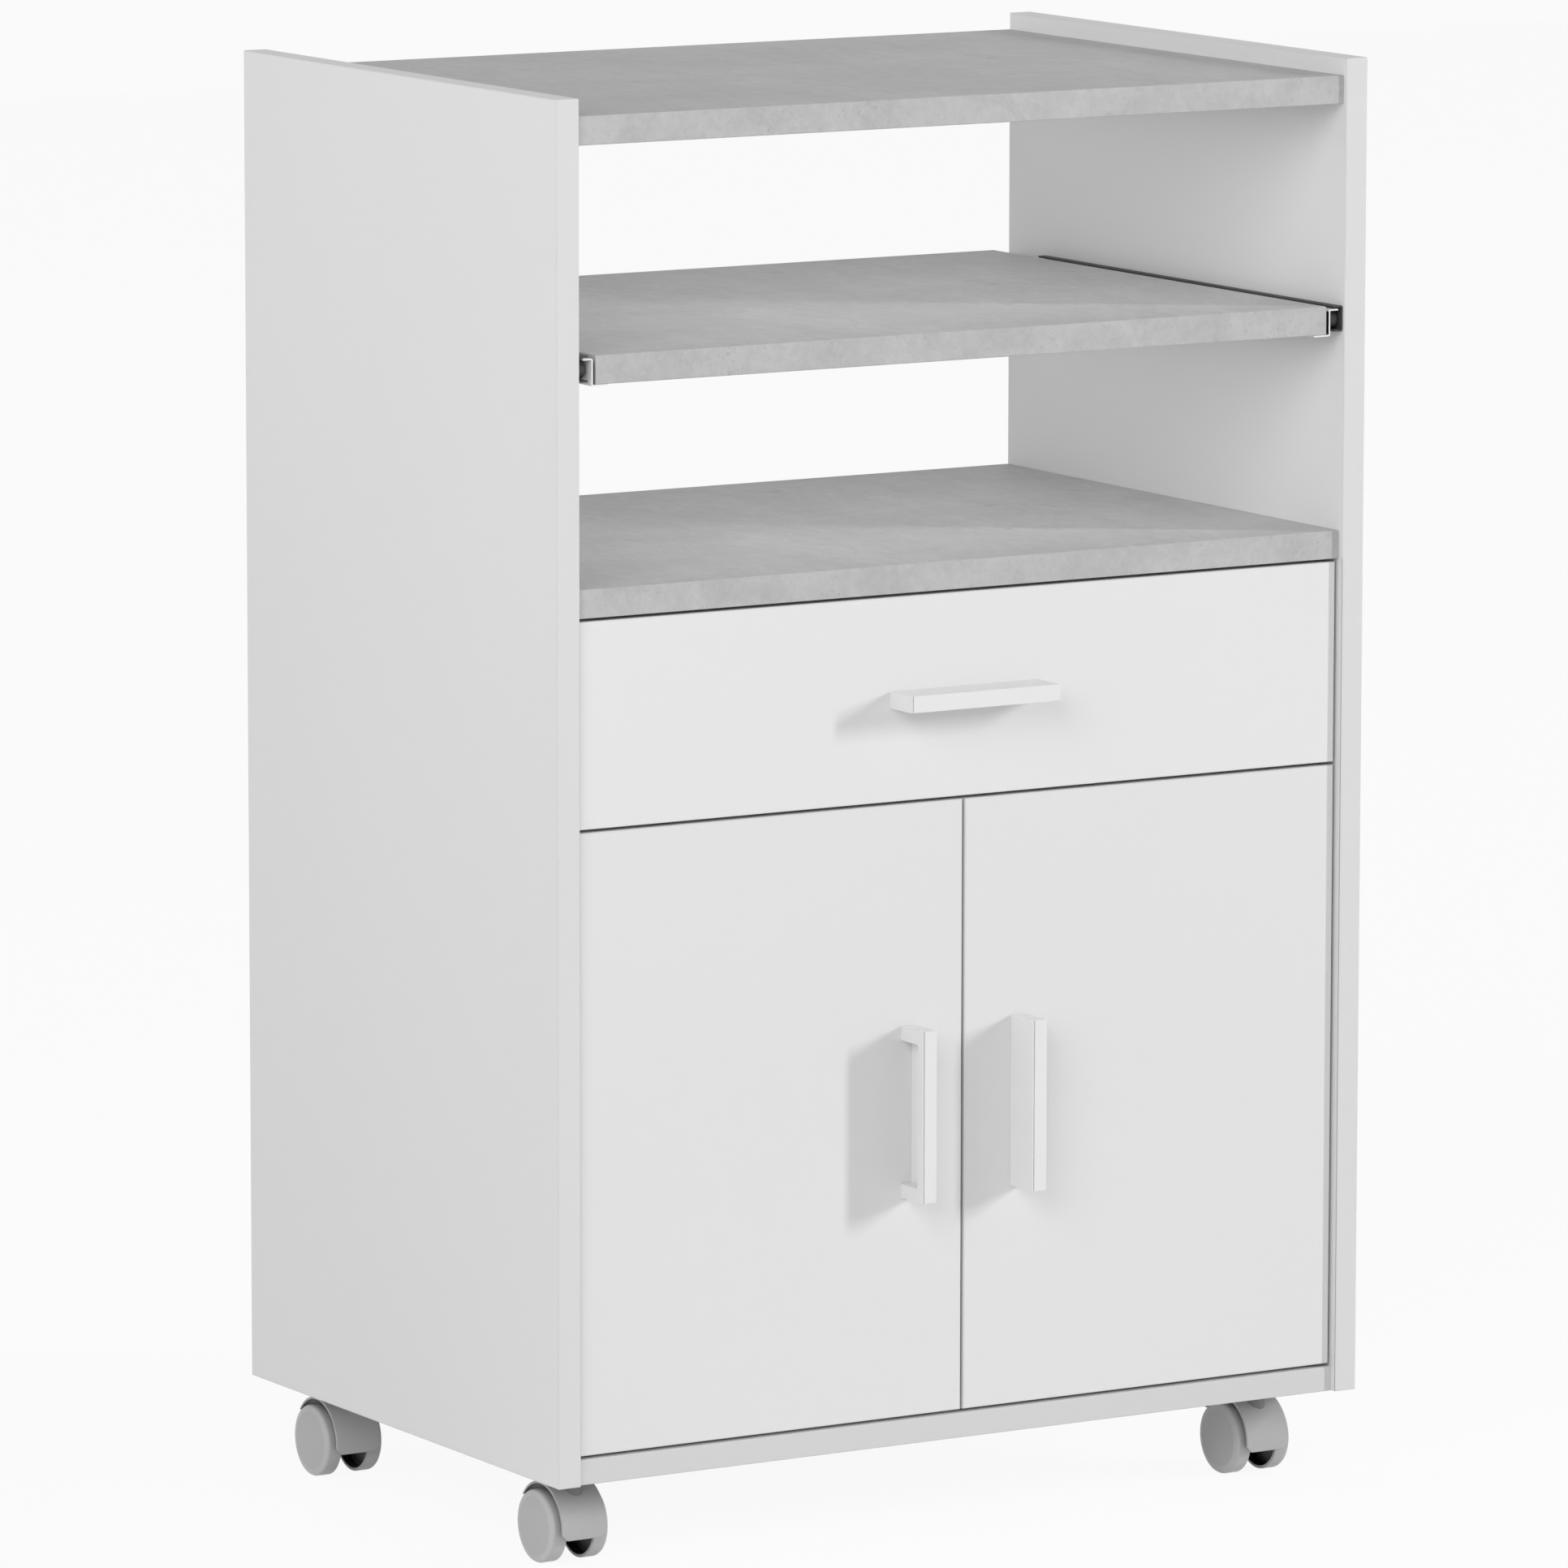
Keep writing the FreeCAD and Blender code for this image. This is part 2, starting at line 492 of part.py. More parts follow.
def slide(name, y, z):
    """The left slide: its front end is at y, the board that it carries stands on z.

    Returns the fixed member, the moving member, the two rollers and the screws that go up
    into the moving board.
    """
    rear_y = f"({y} + sizes.runner_length)"
    panel_x = f"(-{inner_half})"
    # fixed member: a channel that is open towards the middle of the cart
    floor_z = f"({rail_floor} - sizes.rail_metal)"
    ceiling_z = f"({rail_floor} + {rail_inside})"
    upper_z = f"({ceiling_z} + sizes.rail_metal)"
    channel = doc.addObject("PartDesign::Body", name + "_channel")
    section = outline(channel, name + "_channel_section", "XZ_Plane", [
        ("0", floor_z),
        ("sizes.rail_reach", floor_z),
        ("sizes.rail_reach", rail_floor),
        ("sizes.rail_metal", rail_floor),
        ("sizes.rail_metal", ceiling_z),
        ("sizes.rail_reach", ceiling_z),
        ("sizes.rail_reach", upper_z),
        ("0", upper_z),
    ])
    padded(channel, section, "sizes.runner_length")
    place(channel, (panel_x, rear_y, z))
    roller_top = "(sizes.slide_height - sizes.slide_metal - sizes.running_gap)"
    front_roller_z = f"({z} + {roller_top} - sizes.front_roller_radius)"
    front_roller_y = f"({y} + sizes.roller_inset)"
    web_x = f"({panel_x} + sizes.rail_metal)"
    ring_x = f"({web_x} + sizes.stud_head)"
    stud_length = "(sizes.roller_width + 2.5*sizes.stud_head)"
    front_stud = stud(
        name + "_front_stud", (web_x, front_roller_y, front_roller_z), stud_length, "inner"
    )
    screw_z = f"({z} + {rail_floor} + {rail_inside}/2)"
    screw_holes = []
    for spot, screw_y in (
        ("front", f"({y} + sizes.slide_screw_inset)"),
        ("middle", f"({y} + sizes.runner_length/2)"),
        ("rear", f"({rear_y} - sizes.slide_screw_inset)"),
    ):
        at = (web_x, screw_y, screw_z)
        screw, shank = wood_screw(f"{name}_{spot}_screw", "x", -1, at)
        left_screws.append(screw)
        panel_cutters.append(shank)
        hole_name = f"{name}_{spot}_hole"
        screw_holes.append(clearance_hole(hole_name, "x", "sizes.rail_metal", at))
    fixed = cut(
        name + "_fixed", fuse(name + "_fixed_metal", [channel] + front_stud), screw_holes
    )
    front_ring = roller(
        name + "_front_roller", "sizes.front_roller_radius",
        (ring_x, front_roller_y, front_roller_z),
    )
    # moving member: a flange under the board, a web beside it, a flange on the front roller
    outer_web_x = "(sizes.slide_width - sizes.slide_metal)"
    flange_x = f"({outer_web_x} - sizes.slide_flange_out)"
    under_x = "(sizes.slide_width + sizes.slide_flange_in - sizes.slide_metal)"
    runner = doc.addObject("PartDesign::Body", name + "_profile")
    section = outline(runner, name + "_profile_section", "XZ_Plane", [
        (outer_web_x, "-sizes.slide_metal"),
        (under_x, "-sizes.slide_metal"),
        (under_x, "0"),
        ("sizes.slide_width", "0"),
        ("sizes.slide_width", "sizes.slide_height"),
        (flange_x, "sizes.slide_height"),
        (flange_x, "(sizes.slide_height - sizes.slide_metal)"),
        (outer_web_x, "(sizes.slide_height - sizes.slide_metal)"),
    ])
    padded(runner, section, "sizes.runner_length")
    place(runner, (panel_x, rear_y, z))
    notch_length = "(sizes.roller_inset + sizes.rear_roller_radius + sizes.stud_radius)"
    notch = box(
        name + "_notch",
        ("sizes.slide_flange_out", notch_length, "sizes.slide_height"),
        (f"({panel_x} + {flange_x})", f"({rear_y} - {notch_length})", z),
    )
    rear_roller_z = f"({z} + {rail_floor} + sizes.running_gap + sizes.rear_roller_radius)"
    rear_roller_y = f"({rear_y} - sizes.roller_inset)"
    moving_web_x = f"({panel_x} + {outer_web_x})"
    rear_stud = stud(
        name + "_rear_stud", (moving_web_x, rear_roller_y, rear_roller_z), stud_length, "outer"
    )
    board_screws = []
    board_holes = []
    sheet_holes = []
    screw_x = f"({panel_x} + sizes.slide_width + sizes.slide_flange_in/2)"
    for spot, screw_y in (
        ("front", f"({y} + sizes.slide_screw_inset)"),
        ("rear", f"({rear_y} - sizes.slide_screw_inset)"),
    ):
        at = (screw_x, screw_y, f"({z} - sizes.slide_metal)")
        screw, shank = wood_screw(f"{name}_{spot}_board_screw", "z", 1, at)
        board_screws.append(screw)
        board_holes.append(shank)
        hole_name = f"{name}_{spot}_board_hole"
        sheet_holes.append(clearance_hole(hole_name, "z", "sizes.slide_metal", at))
    notched = cut(name + "_notched", runner, [notch] + sheet_holes)
    moving = fuse(name + "_moving", [notched] + rear_stud)
    rear_x = f"({moving_web_x} - sizes.stud_head - sizes.roller_width)"
    rear_ring = roller(
        name + "_rear_roller", "sizes.rear_roller_radius", (rear_x, rear_roller_y, rear_roller_z)
    )
    return fixed, moving, front_ring, rear_ring, board_screws, board_holes


def slide_pair(name, y, z):
    """Both slides of one moving board, as nodes. Returns its screws and screw holes."""
    fixed, moving, front_ring, rear_ring, screws, holes = slide(name, y, z)
    node(fixed, f"{name}_rail_left")
    node(mirrored(name + "_rail_right", fixed), f"{name}_rail_right")
    node(moving, f"{name}_runner_left")
    node(mirrored(name + "_runner_right", moving), f"{name}_runner_right")
    for place_name, ring in (("front", front_ring), ("rear", rear_ring)):
        other = mirrored(f"{name}_{place_name}_roller_right", ring)
        pair = group(f"{name}_{place_name}_roller_pair", [ring, other])
        node(pair, f"{name}_{place_name}_rollers")
    left_set = group(name + "_left_board_screws", screws)
    both = [left_set, mirrored(name + "_right_board_screws", left_set)]
    left_holes = fuse(name + "_left_board_holes", holes)
    return both, [left_holes, mirrored(name + "_right_board_holes", left_holes)]


shelf_screws, shelf_holes = slide_pair("shelf", shelf_y, shelf_z)
drawer_slide_screws, drawer_holes = slide_pair("drawer", behind_fronts_y, drawer_z)


# --- pull-out shelf ---

shelf_board = doc.addObject("PartDesign::Body", "shelf_board")
shelf_section = rounded_rectangle(
    shelf_board, "shelf_section", "YZ_Plane", "(sizes.carcass_depth - sizes.shelf_recess)",
    "sizes.board_thickness", "sizes.edge_round",
)
padded(shelf_board, shelf_section, f"(2*{shelf_half})")
place(shelf_board, (f"(-{shelf_half})", shelf_y, shelf_z))
node(cut("drilled_shelf", shelf_board, shelf_holes), "sliding_shelf")
node(group("shelf_screw_set", shelf_screws), "shelf_screws")


# --- concealed hinges, made for the left door and mirrored ---

hinge_heights = {
    "lower": f"({door_z} + sizes.hinge_inset)",
    "upper": f"({door_top_z} - sizes.hinge_inset)",
}
hinge_pins = []
hinge_arms = []
hinge_plates = []
hinge_cups = []
door_cutters = []
door_screws = []

for spot, hinge_z in hinge_heights.items():
    # the arm: an eye round the pin, a strut at 45 degrees, a quarter bend, a straight end
    low_z = f"({hinge_z} - sizes.arm_width/2)"
    centre = (pin_x, pin_y, low_z)
    eye = rod(spot + "_eye", "sizes.eye_radius", "sizes.arm_width", centre, "z")
    bend_outer = doc.addObject("Part::Cylinder", spot + "_bend_outer")
    bend_outer.setExpression("Radius", "sizes.arm_reach + sizes.arm_thickness/2")
    bend_outer.setExpression("Height", "sizes.arm_width")
    bend_outer.Angle = 90
    bend_outer.Placement = FreeCAD.Placement(Vector(), Rotation(Vector(0, 0, 1), 45))
    place(bend_outer, centre)
    bend_hole = rod(
        spot + "_bend_hole", "(sizes.arm_reach - sizes.arm_thickness/2)", "sizes.arm_width",
        centre, "z",
    )
    bend = cut(spot + "_bend", bend_outer, [bend_hole])
    strut = doc.addObject("Part::Box", spot + "_strut")
    strut.setExpression("Length", "sizes.arm_reach + sizes.arm_thickness/2")
    strut.setExpression("Width", "sizes.arm_thickness")
    strut.setExpression("Height", "sizes.arm_width")
    strut.Placement = FreeCAD.Placement(Vector(), Rotation(Vector(0, 0, 1), 45))
    # the strut's corner sits on the far side of its middle line, half a thickness off
    corner_step = "(sizes.arm_thickness/2*sin(45 deg))"
    place(strut, (f"({pin_x} + {corner_step})", f"({pin_y} - {corner_step})", low_z))
    end_x = f"({pin_x} - sizes.arm_reach*sin(45 deg) - sizes.arm_thickness/2)"
    end_y = f"({pin_y} + (sizes.arm_reach - sizes.arm_thickness/2)*cos(45 deg))"
    straight = box(
        spot + "_straight",
        ("sizes.arm_thickness", "sizes.arm_clamp_length", "sizes.arm_width"),
        (end_x, end_y, low_z),
    )
    pin = rod(
        spot + "_pin", "sizes.pin_radius", "(2*sizes.cup_radius - sizes.cup_wall)",
        (pin_x, pin_y, f"({hinge_z} - sizes.cup_radius + sizes.cup_wall/2)"), "z",
    )
    arm_metal = fuse(spot + "_arm_metal", [eye, bend, strut, straight])
    hinge_arms.append(cut(spot + "_arm", arm_metal, [pin]))
    hinge_pins.append(pin)

    # the plate: a flat foot on the panel and a block that the arm is clamped to
    plate_y = f"({end_y} + sizes.arm_clamp_length - sizes.plate_length)"
    foot = box(
        spot + "_foot",
        ("sizes.plate_thickness", "sizes.plate_length", "sizes.plate_height"),
        (f"(-{inner_half})", plate_y, f"({hinge_z} - sizes.plate_height/2)"),
    )
    block = box(
        spot + "_block",
        (f"({end_x} + {inner_half})", "sizes.plate_length", "sizes.arm_width"),
        (f"(-{inner_half})", plate_y, low_z),
    )
    foot_holes = []
    for side, sign in (("below", "-"), ("above", "+")):
        at = (
            f"(-{inner_half} + sizes.plate_thickness)",
            f"({plate_y} + sizes.plate_length/2)",
            f"({hinge_z} {sign} sizes.plate_screw_spread)",
        )
        screw, shank = wood_screw(f"{spot}_plate_screw_{side}", "x", -1, at)
        left_screws.append(screw)
        panel_cutters.append(shank)
        foot_holes.append(
            clearance_hole(f"{spot}_plate_hole_{side}", "x", "sizes.plate_thickness", at)
        )
    plate_metal = fuse(spot + "_plate_metal", [foot, block])
    hinge_plates.append(cut(spot + "_plate", plate_metal, foot_holes))

    # the cup in the door, with its flange and two screws
    floor_y = f"({behind_fronts_y} - sizes.cup_depth)"
    shell = rod(
        spot + "_cup_shell", "sizes.cup_radius", "sizes.cup_depth", (pin_x, floor_y, hinge_z), "y"
    )
    flange = rod(
        spot + "_cup_flange", "(sizes.cup_radius + sizes.cup_flange_margin)", "sizes.cup_flange",
        (pin_x, behind_fronts_y, hinge_z), "y",
    )
    wing_height = "(2*sizes.cup_wing_spread + 2*sizes.cup_wing_margin)"
    wings = box(
        spot + "_cup_wings", ("sizes.cup_wing_width", "sizes.cup_flange", wing_height),
        (f"({pin_x} - sizes.cup_wing_width/2)", behind_fronts_y, f"({hinge_z} - {wing_height}/2)"),
    )
    hollow = rod(
        spot + "_cup_hollow", "(sizes.cup_radius - sizes.cup_wall)",
        "(sizes.cup_depth + sizes.cup_flange)",
        (pin_x, f"({floor_y} + sizes.cup_wall)", hinge_z), "y",
    )
    pin_bore = rod(
        spot + "_pin_bore", "(sizes.pin_radius + sizes.running_gap)",
        "(2*sizes.cup_radius + 2*sizes.cup_wall)",
        (pin_x, pin_y, f"({hinge_z} - sizes.cup_radius - sizes.cup_wall)"), "z",
    )
    cup_holes = [hollow, pin_bore]
    for side, sign in (("below", "-"), ("above", "+")):
        at = (
            pin_x,
            f"({behind_fronts_y} + sizes.cup_flange)",
            f"({hinge_z} {sign} sizes.cup_wing_spread)",
        )
        screw, shank = wood_screw(f"{spot}_cup_screw_{side}", "y", -1, at)
        door_screws.append(screw)
        door_cutters.append(shank)
        cup_holes.append(clearance_hole(f"{spot}_cup_hole_{side}", "y", "sizes.cup_flange", at))
    cup_metal = fuse(spot + "_cup_metal", [shell, flange, wings])
    hinge_cups.append(cut(spot + "_cup", cup_metal, cup_holes))
    door_cutters.append(rod(
        spot + "_cup_pocket", "(sizes.cup_radius + sizes.fitting_clearance)",
        "(sizes.cup_depth + sizes.fitting_clearance)",
        (pin_x, f"({floor_y} - sizes.fitting_clearance)", hinge_z), "y",
    ))

for label, left_pieces in (
    ("hinge_pins", hinge_pins), ("hinge_arms", hinge_arms), ("hinge_plates", hinge_plates),
):
    left_set = group("left_" + label, left_pieces)
    node(group("all_" + label, [left_set, mirrored("right_" + label, left_set)]), label)


# --- handles: a bar on two solid ends, walled along one side and open along the other ---

def handle(name, lying):
    """A handle whose foot lies on the local XZ plane and which stands out towards -Y."""
    body = doc.addObject("PartDesign::Body", name)
    long_side, short_side = "sizes.handle_length", "sizes.handle_width"
    far_leg = f"({long_side} - sizes.handle_leg)"
    open_to = f"({short_side} - sizes.handle_wall)"
    block = [("0", "0"), (long_side, "0"), (long_side, short_side), ("0", short_side)]
    cavity = [
        ("sizes.handle_leg", "0"), (far_leg, "0"), (far_leg, open_to), ("sizes.handle_leg", open_to),
    ]
    if not lying:
        block = [(across, up) for up, across in block]
        cavity = [(across, up) for up, across in cavity]
    pad = padded(body, outline(body, name + "_face", "XZ_Plane", block), "sizes.handle_projection")
    hollow = body.newObject("PartDesign::Pocket", name + "_hollow")
    hollow.Profile = outline(body, name + "_cavity", "XZ_Plane", cavity)
    hollow.setExpression("Length", "sizes.handle_projection - sizes.handle_bar")
    hollow.Reversed = True
    doc.recompute()
    if hollow.Shape.Volume >= pad.Shape.Volume:
        raise RuntimeError(name + " has no hollow")
    round_faces(body, hollow, [(0, -1, 0)], "sizes.handle_round")
    return body


def handle_screw(name, x, z):
    """A screw from behind a front into a handle's end. Returns the screw and its shank."""
    bite_y = f"({fronts_y} - sizes.machine_screw_bite)"
    length = "(sizes.machine_screw_bite + sizes.front_thickness)"
    shank = rod(name + "_shank", "sizes.machine_screw_radius", length, (x, bite_y, z), "y")
    head = rod(
        name + "_head", "sizes.machine_screw_head_radius", "sizes.machine_screw_head",
        (x, behind_fronts_y, z), "y",
    )
    return fuse(name, [head, shank]), shank


door_middle_z = f"({door_z} + {door_height}/2)"
handle_leg_step = "(sizes.handle_length/2 - sizes.handle_leg/2)"
door_handle_screws = [
    handle_screw(f"door_handle_screw_{spot}", "(-sizes.handle_offset)",
                 f"({door_middle_z} {sign} {handle_leg_step})")
    for spot, sign in (("below", "-"), ("above", "+"))
]
door_screws += [screw for screw, shank in door_handle_screws]
door_handle_shanks = [shank for screw, shank in door_handle_screws]
standing_handle = handle("standing_handle", lying=False)
place(standing_handle, (
    "(-sizes.handle_offset - sizes.handle_width/2)", fronts_y,
    f"({door_middle_z} - sizes.handle_length/2)",
))
left_handle = node(
    cut("drilled_door_handle", standing_handle, door_handle_shanks), "left_door_handle"
)
node(mirrored("right_door_handle", left_handle), "right_door_handle")


# --- doors ---

door_leaf = front(
    "door_leaf", door_width, door_height,
    (f"(-{inner_half} + sizes.side_gap)", behind_fronts_y, door_z),
)
left_door = node(
    cut("drilled_door", door_leaf, door_cutters + door_handle_shanks), "left_door"
)
node(mirrored("right_door", left_door), "right_door")
left_cups = node(group("left_cup_set", hinge_cups), "left_hinge_cups")
node(mirrored("right_cup_set", left_cups), "right_hinge_cups")
left_door_screws = node(group("left_door_screw_set", door_screws), "left_door_screws")
node(mirrored("right_door_screw_set", left_door_screws), "right_door_screws")


# --- drawer ---

side_x = f"(-{drawer_half})"
inside_x = f"({side_x} + sizes.drawer_side_thickness)"
groove_z = f"({drawer_z} + sizes.drawer_bottom_lift)"
groove_height = "(sizes.drawer_bottom_thickness + sizes.groove_clearance)"
groove_half = f"(-{inside_x} + sizes.groove_depth)"
groove = box(
    "drawer_groove",
    (f"(2*{groove_half})", f"(sizes.groove_depth + {drawer_side_length})", groove_height),
    (f"(-{groove_half})", f"({behind_fronts_y} - sizes.groove_depth)", groove_z),
)
bottom_half = f"({groove_half} - sizes.groove_clearance)"
bottom_length = f"(sizes.groove_depth + {drawer_side_length} - sizes.groove_clearance)"
node(box(
    "drawer_floor",
    (f"(2*{bottom_half})", bottom_length, "sizes.drawer_bottom_thickness"),
    (f"(-{bottom_half})",
     f"({behind_fronts_y} - sizes.groove_depth + sizes.groove_clearance)", groove_z),
), "drawer_bottom")

# a cam in each drawer side pulls the front against it
cam_y = f"({behind_fronts_y} + sizes.cam_setback)"
cam_z = f"({drawer_z} + sizes.drawer_cam_height)"
cam_middle_x = f"({side_x} + sizes.drawer_side_thickness/2)"
drawer_bolt = rod(
    "drawer_cam_bolt", "sizes.bolt_radius", "(sizes.bolt_grip + sizes.cam_setback)",
    (cam_middle_x, f"({behind_fronts_y} - sizes.bolt_grip)", cam_z), "y",
)
drawer_bore = rod(
    "drawer_cam_bore", "(sizes.bolt_radius + sizes.fitting_clearance)",
    "(sizes.cam_setback + sizes.bolt_radius)", (cam_middle_x, behind_fronts_y, cam_z), "y",
)
drawer_disc = rod(
    "drawer_cam_disc", "sizes.cam_radius", "sizes.drawer_cam_depth",
    (f"({inside_x} - sizes.drawer_cam_depth)", cam_y, cam_z), "x",
)
drawer_pocket = rod(
    "drawer_cam_pocket", "(sizes.cam_radius + sizes.fitting_clearance)",
    "(sizes.drawer_cam_depth + sizes.fitting_clearance)",
    (f"({inside_x} - sizes.drawer_cam_depth - sizes.fitting_clearance)", cam_y, cam_z), "x",
)
drawer_cam = cut("drawer_cam", drawer_disc, [drawer_bore])
drawer_fittings = group("left_drawer_fittings", [drawer_cam, drawer_bolt])
node(group("drawer_fittings", [
    drawer_fittings, mirrored("right_drawer_fittings", drawer_fittings),
]), "drawer_cams")

# two screws through each drawer side hold the back
back_length = f"(-2*{inside_x})"
back_z = f"({groove_z} + {groove_height})"
back_height = f"({drawer_z} + sizes.drawer_side_height - {back_z})"
drawer_back_y = f"({behind_fronts_y} + {drawer_side_length} - sizes.drawer_side_thickness)"
back_screws = []
back_holes = []
for spot, share in (("lower", 0.25), ("upper", 0.75)):
    seat = (
        f"({side_x} + sizes.screw_head_height)",
        f"({drawer_back_y} + sizes.drawer_side_thickness/2)",
        f"({back_z} + {share}*{back_height})",
    )
    screw, shank = wood_screw(f"drawer_back_{spot}_screw", "x", 1, seat)
    back_screws.append(screw)
    back_holes.append(screw)
left_back_screws = group("left_drawer_back_screws", back_screws)
right_back_screws = mirrored("right_drawer_back_screws", left_back_screws)
side_board = box(
    "drawer_side_board",
    ("sizes.drawer_side_thickness", drawer_side_length, "sizes.drawer_side_height"),
    (side_x, behind_fronts_y, drawer_z),
)
left_drawer_side = node(cut(
    "drawer_side", side_board,
    [groove, drawer_bore, drawer_pocket, drawer_holes[0]] + back_holes,
), "drawer_side_left")
node(mirrored("drawer_side_mirror", left_drawer_side), "drawer_side_right")
back_board = box(
    "drawer_back_board", (back_length, "sizes.drawer_side_thickness", back_height),
    (inside_x, drawer_back_y, back_z),
)
node(cut("drawer_back", back_board, [left_back_screws, right_back_screws]), "drawer_back")

# the drawer front with its handle lying across the middle
drawer_handle_z = f"({drawer_front_z} + sizes.drawer_front_height/2)"
lying_handle = handle("lying_handle", lying=True)
place(lying_handle, (
    "(-sizes.handle_length/2)", fronts_y, f"({drawer_handle_z} - sizes.handle_width/2)",
))
left_leg_screw, left_leg_shank = handle_screw(
    "drawer_handle_screw", f"(-{handle_leg_step})", drawer_handle_z
)
right_leg_screw = mirrored("drawer_handle_screw_right", left_leg_screw)
leg_shanks = [left_leg_shank, mirrored("drawer_handle_shank_right", left_leg_shank)]
node(cut("drilled_drawer_handle", lying_handle, leg_shanks), "drawer_handle")
drawer_face = front(
    "drawer_face", f"(2*({inner_half} - sizes.side_gap))", "sizes.drawer_front_height",
    (f"(-{inner_half} + sizes.side_gap)", behind_fronts_y, drawer_front_z),
)
node(cut("drilled_drawer_front", drawer_face, leg_shanks + [
    groove, drawer_bolt, mirrored("drawer_cam_bolt_right", drawer_bolt),
]), "drawer_front")
node(group("drawer_screw_set", drawer_slide_screws + [
    left_back_screws, right_back_screws, left_leg_screw, right_leg_screw,
]), "drawer_screws")


# --- casters ---

def wheel(name, x, y, sign):
    """A wheel whose closed face looks away from the caster's middle, sign -1 or +1 along X.

    The section runs from the face's centre over the bevel and the tread to the recess
    inside, the hub and the blind bore, and is turned about the axle.
    """
    body = doc.addObject("PartDesign::Body", name)
    shoulder = "(sizes.wheel_radius - sizes.wheel_shoulder)"
    inner_rim = "(sizes.wheel_radius - sizes.wheel_rim)"
    profile = [
        ("0", "0"),
        ("0", "sizes.wheel_face_radius"),
        ("sizes.wheel_bevel", shoulder),
        ("(sizes.wheel_bevel + 2*sizes.wheel_shoulder)", "sizes.wheel_radius"),
        ("(sizes.wheel_width - sizes.wheel_shoulder)", "sizes.wheel_radius"),
        ("sizes.wheel_width", shoulder),
        ("sizes.wheel_width", inner_rim),
        ("sizes.wheel_web", inner_rim),
        ("sizes.wheel_web", "sizes.wheel_hub_radius"),
        ("sizes.wheel_width", "sizes.wheel_hub_radius"),
        ("sizes.wheel_width", bore_of_axle),
        ("sizes.wheel_cap", bore_of_axle),
        ("sizes.wheel_cap", "0"),
    ]
    if sign > 0:
        profile = [(f"(-{across})", up) for across, up in profile]
    section = outline(body, name + "_section", "XY_Plane", profile)
    turned = body.newObject("PartDesign::Revolution", name + "_turned")
    turned.Profile = section
    turned.ReferenceAxis = (section, ["H_Axis"])
    turned.Angle = 360
    face_x = f"({x} - sizes.caster_width/2)" if sign < 0 else f"({x} + sizes.caster_width/2)"
    return place(body, (face_x, y, axle_z))


def hood(name, x, axle_y, stem_y):
    """The hood over two wheels, with the rib, hub and stem boss inside it.

    It is a tube about the axle, cut off level below the axle in front and above it behind.
    """
    size = "sizes.hood_radius"
    left_x = f"({x} - sizes.hood_width/2)"
    tube = rod(name + "_tube", size, "sizes.hood_width", (left_x, axle_y, axle_z), "x")
    inside = rod(
        name + "_inside", f"({size} - sizes.hood_wall)", "sizes.hood_width",
        (left_x, axle_y, axle_z), "x",
    )
    low_z = f"({axle_z} - {size})"
    below_front = box(
        name + "_below_front", ("sizes.hood_width", size, f"({size} - sizes.hood_drop)"),
        (left_x, f"({axle_y} - {size})", low_z),
    )
    below_back = box(
        name + "_below_back", ("sizes.hood_width", size, f"({size} + sizes.hood_back_height)"),
        (left_x, axle_y, low_z),
    )
    corner_size = ("sizes.hood_corner_width", size, f"({size} - sizes.hood_corner_drop)")
    right_corner_x = f"({x} + sizes.hood_width/2 - sizes.hood_corner_width)"
    corners = [
        box(f"{name}_corner_{side}", corner_size, (corner_x, f"({axle_y} - {size})", low_z))
        for side, corner_x in (("left", left_x), ("right", right_corner_x))
    ]
    shell = cut(name + "_shell", tube, [inside, below_front, below_back] + corners)
    rib_x = f"({x} - sizes.hood_rib/2)"
    disc = rod(
        name + "_rib_disc", f"({size} - sizes.hood_wall/2)", "sizes.hood_rib",
        (rib_x, axle_y, axle_z), "x",
    )
    rib_part = box(
        name + "_rib_part",
        ("sizes.hood_rib", "(sizes.caster_trail + sizes.boss_radius)", size),
        (rib_x, f"({stem_y} - sizes.boss_radius)", axle_z),
    )
    rib = doc.addObject("Part::MultiCommon", name + "_rib")
    rib.Shapes = [disc, rib_part]
    hub = rod(
        name + "_hub", "sizes.hub_radius", "sizes.hub_length",
        (f"({x} - sizes.hub_length/2)", axle_y, axle_z), "x",
    )
    collar_z = f"({base_z} - sizes.caster_plate_thickness - sizes.collar_height)"
    boss_z = f"({collar_z} - sizes.stem_play - sizes.boss_height)"
    boss = rod(
        name + "_boss", "sizes.boss_radius", "sizes.boss_height", (x, stem_y, boss_z), "z"
    )
    stem_bore = rod(
        name + "_stem_bore", "(sizes.stem_radius + sizes.running_gap)", "sizes.boss_height",
        (x, stem_y, f"({boss_z} + sizes.stem_radius)"), "z",
    )
    axle_bore = rod(
        name + "_axle_bore", "sizes.axle_radius", "sizes.hood_width",
        (left_x, axle_y, axle_z), "x",
    )
    solid = fuse(name + "_solid", [shell, rib, hub, boss])
    return cut(name, solid, [stem_bore, axle_bore])


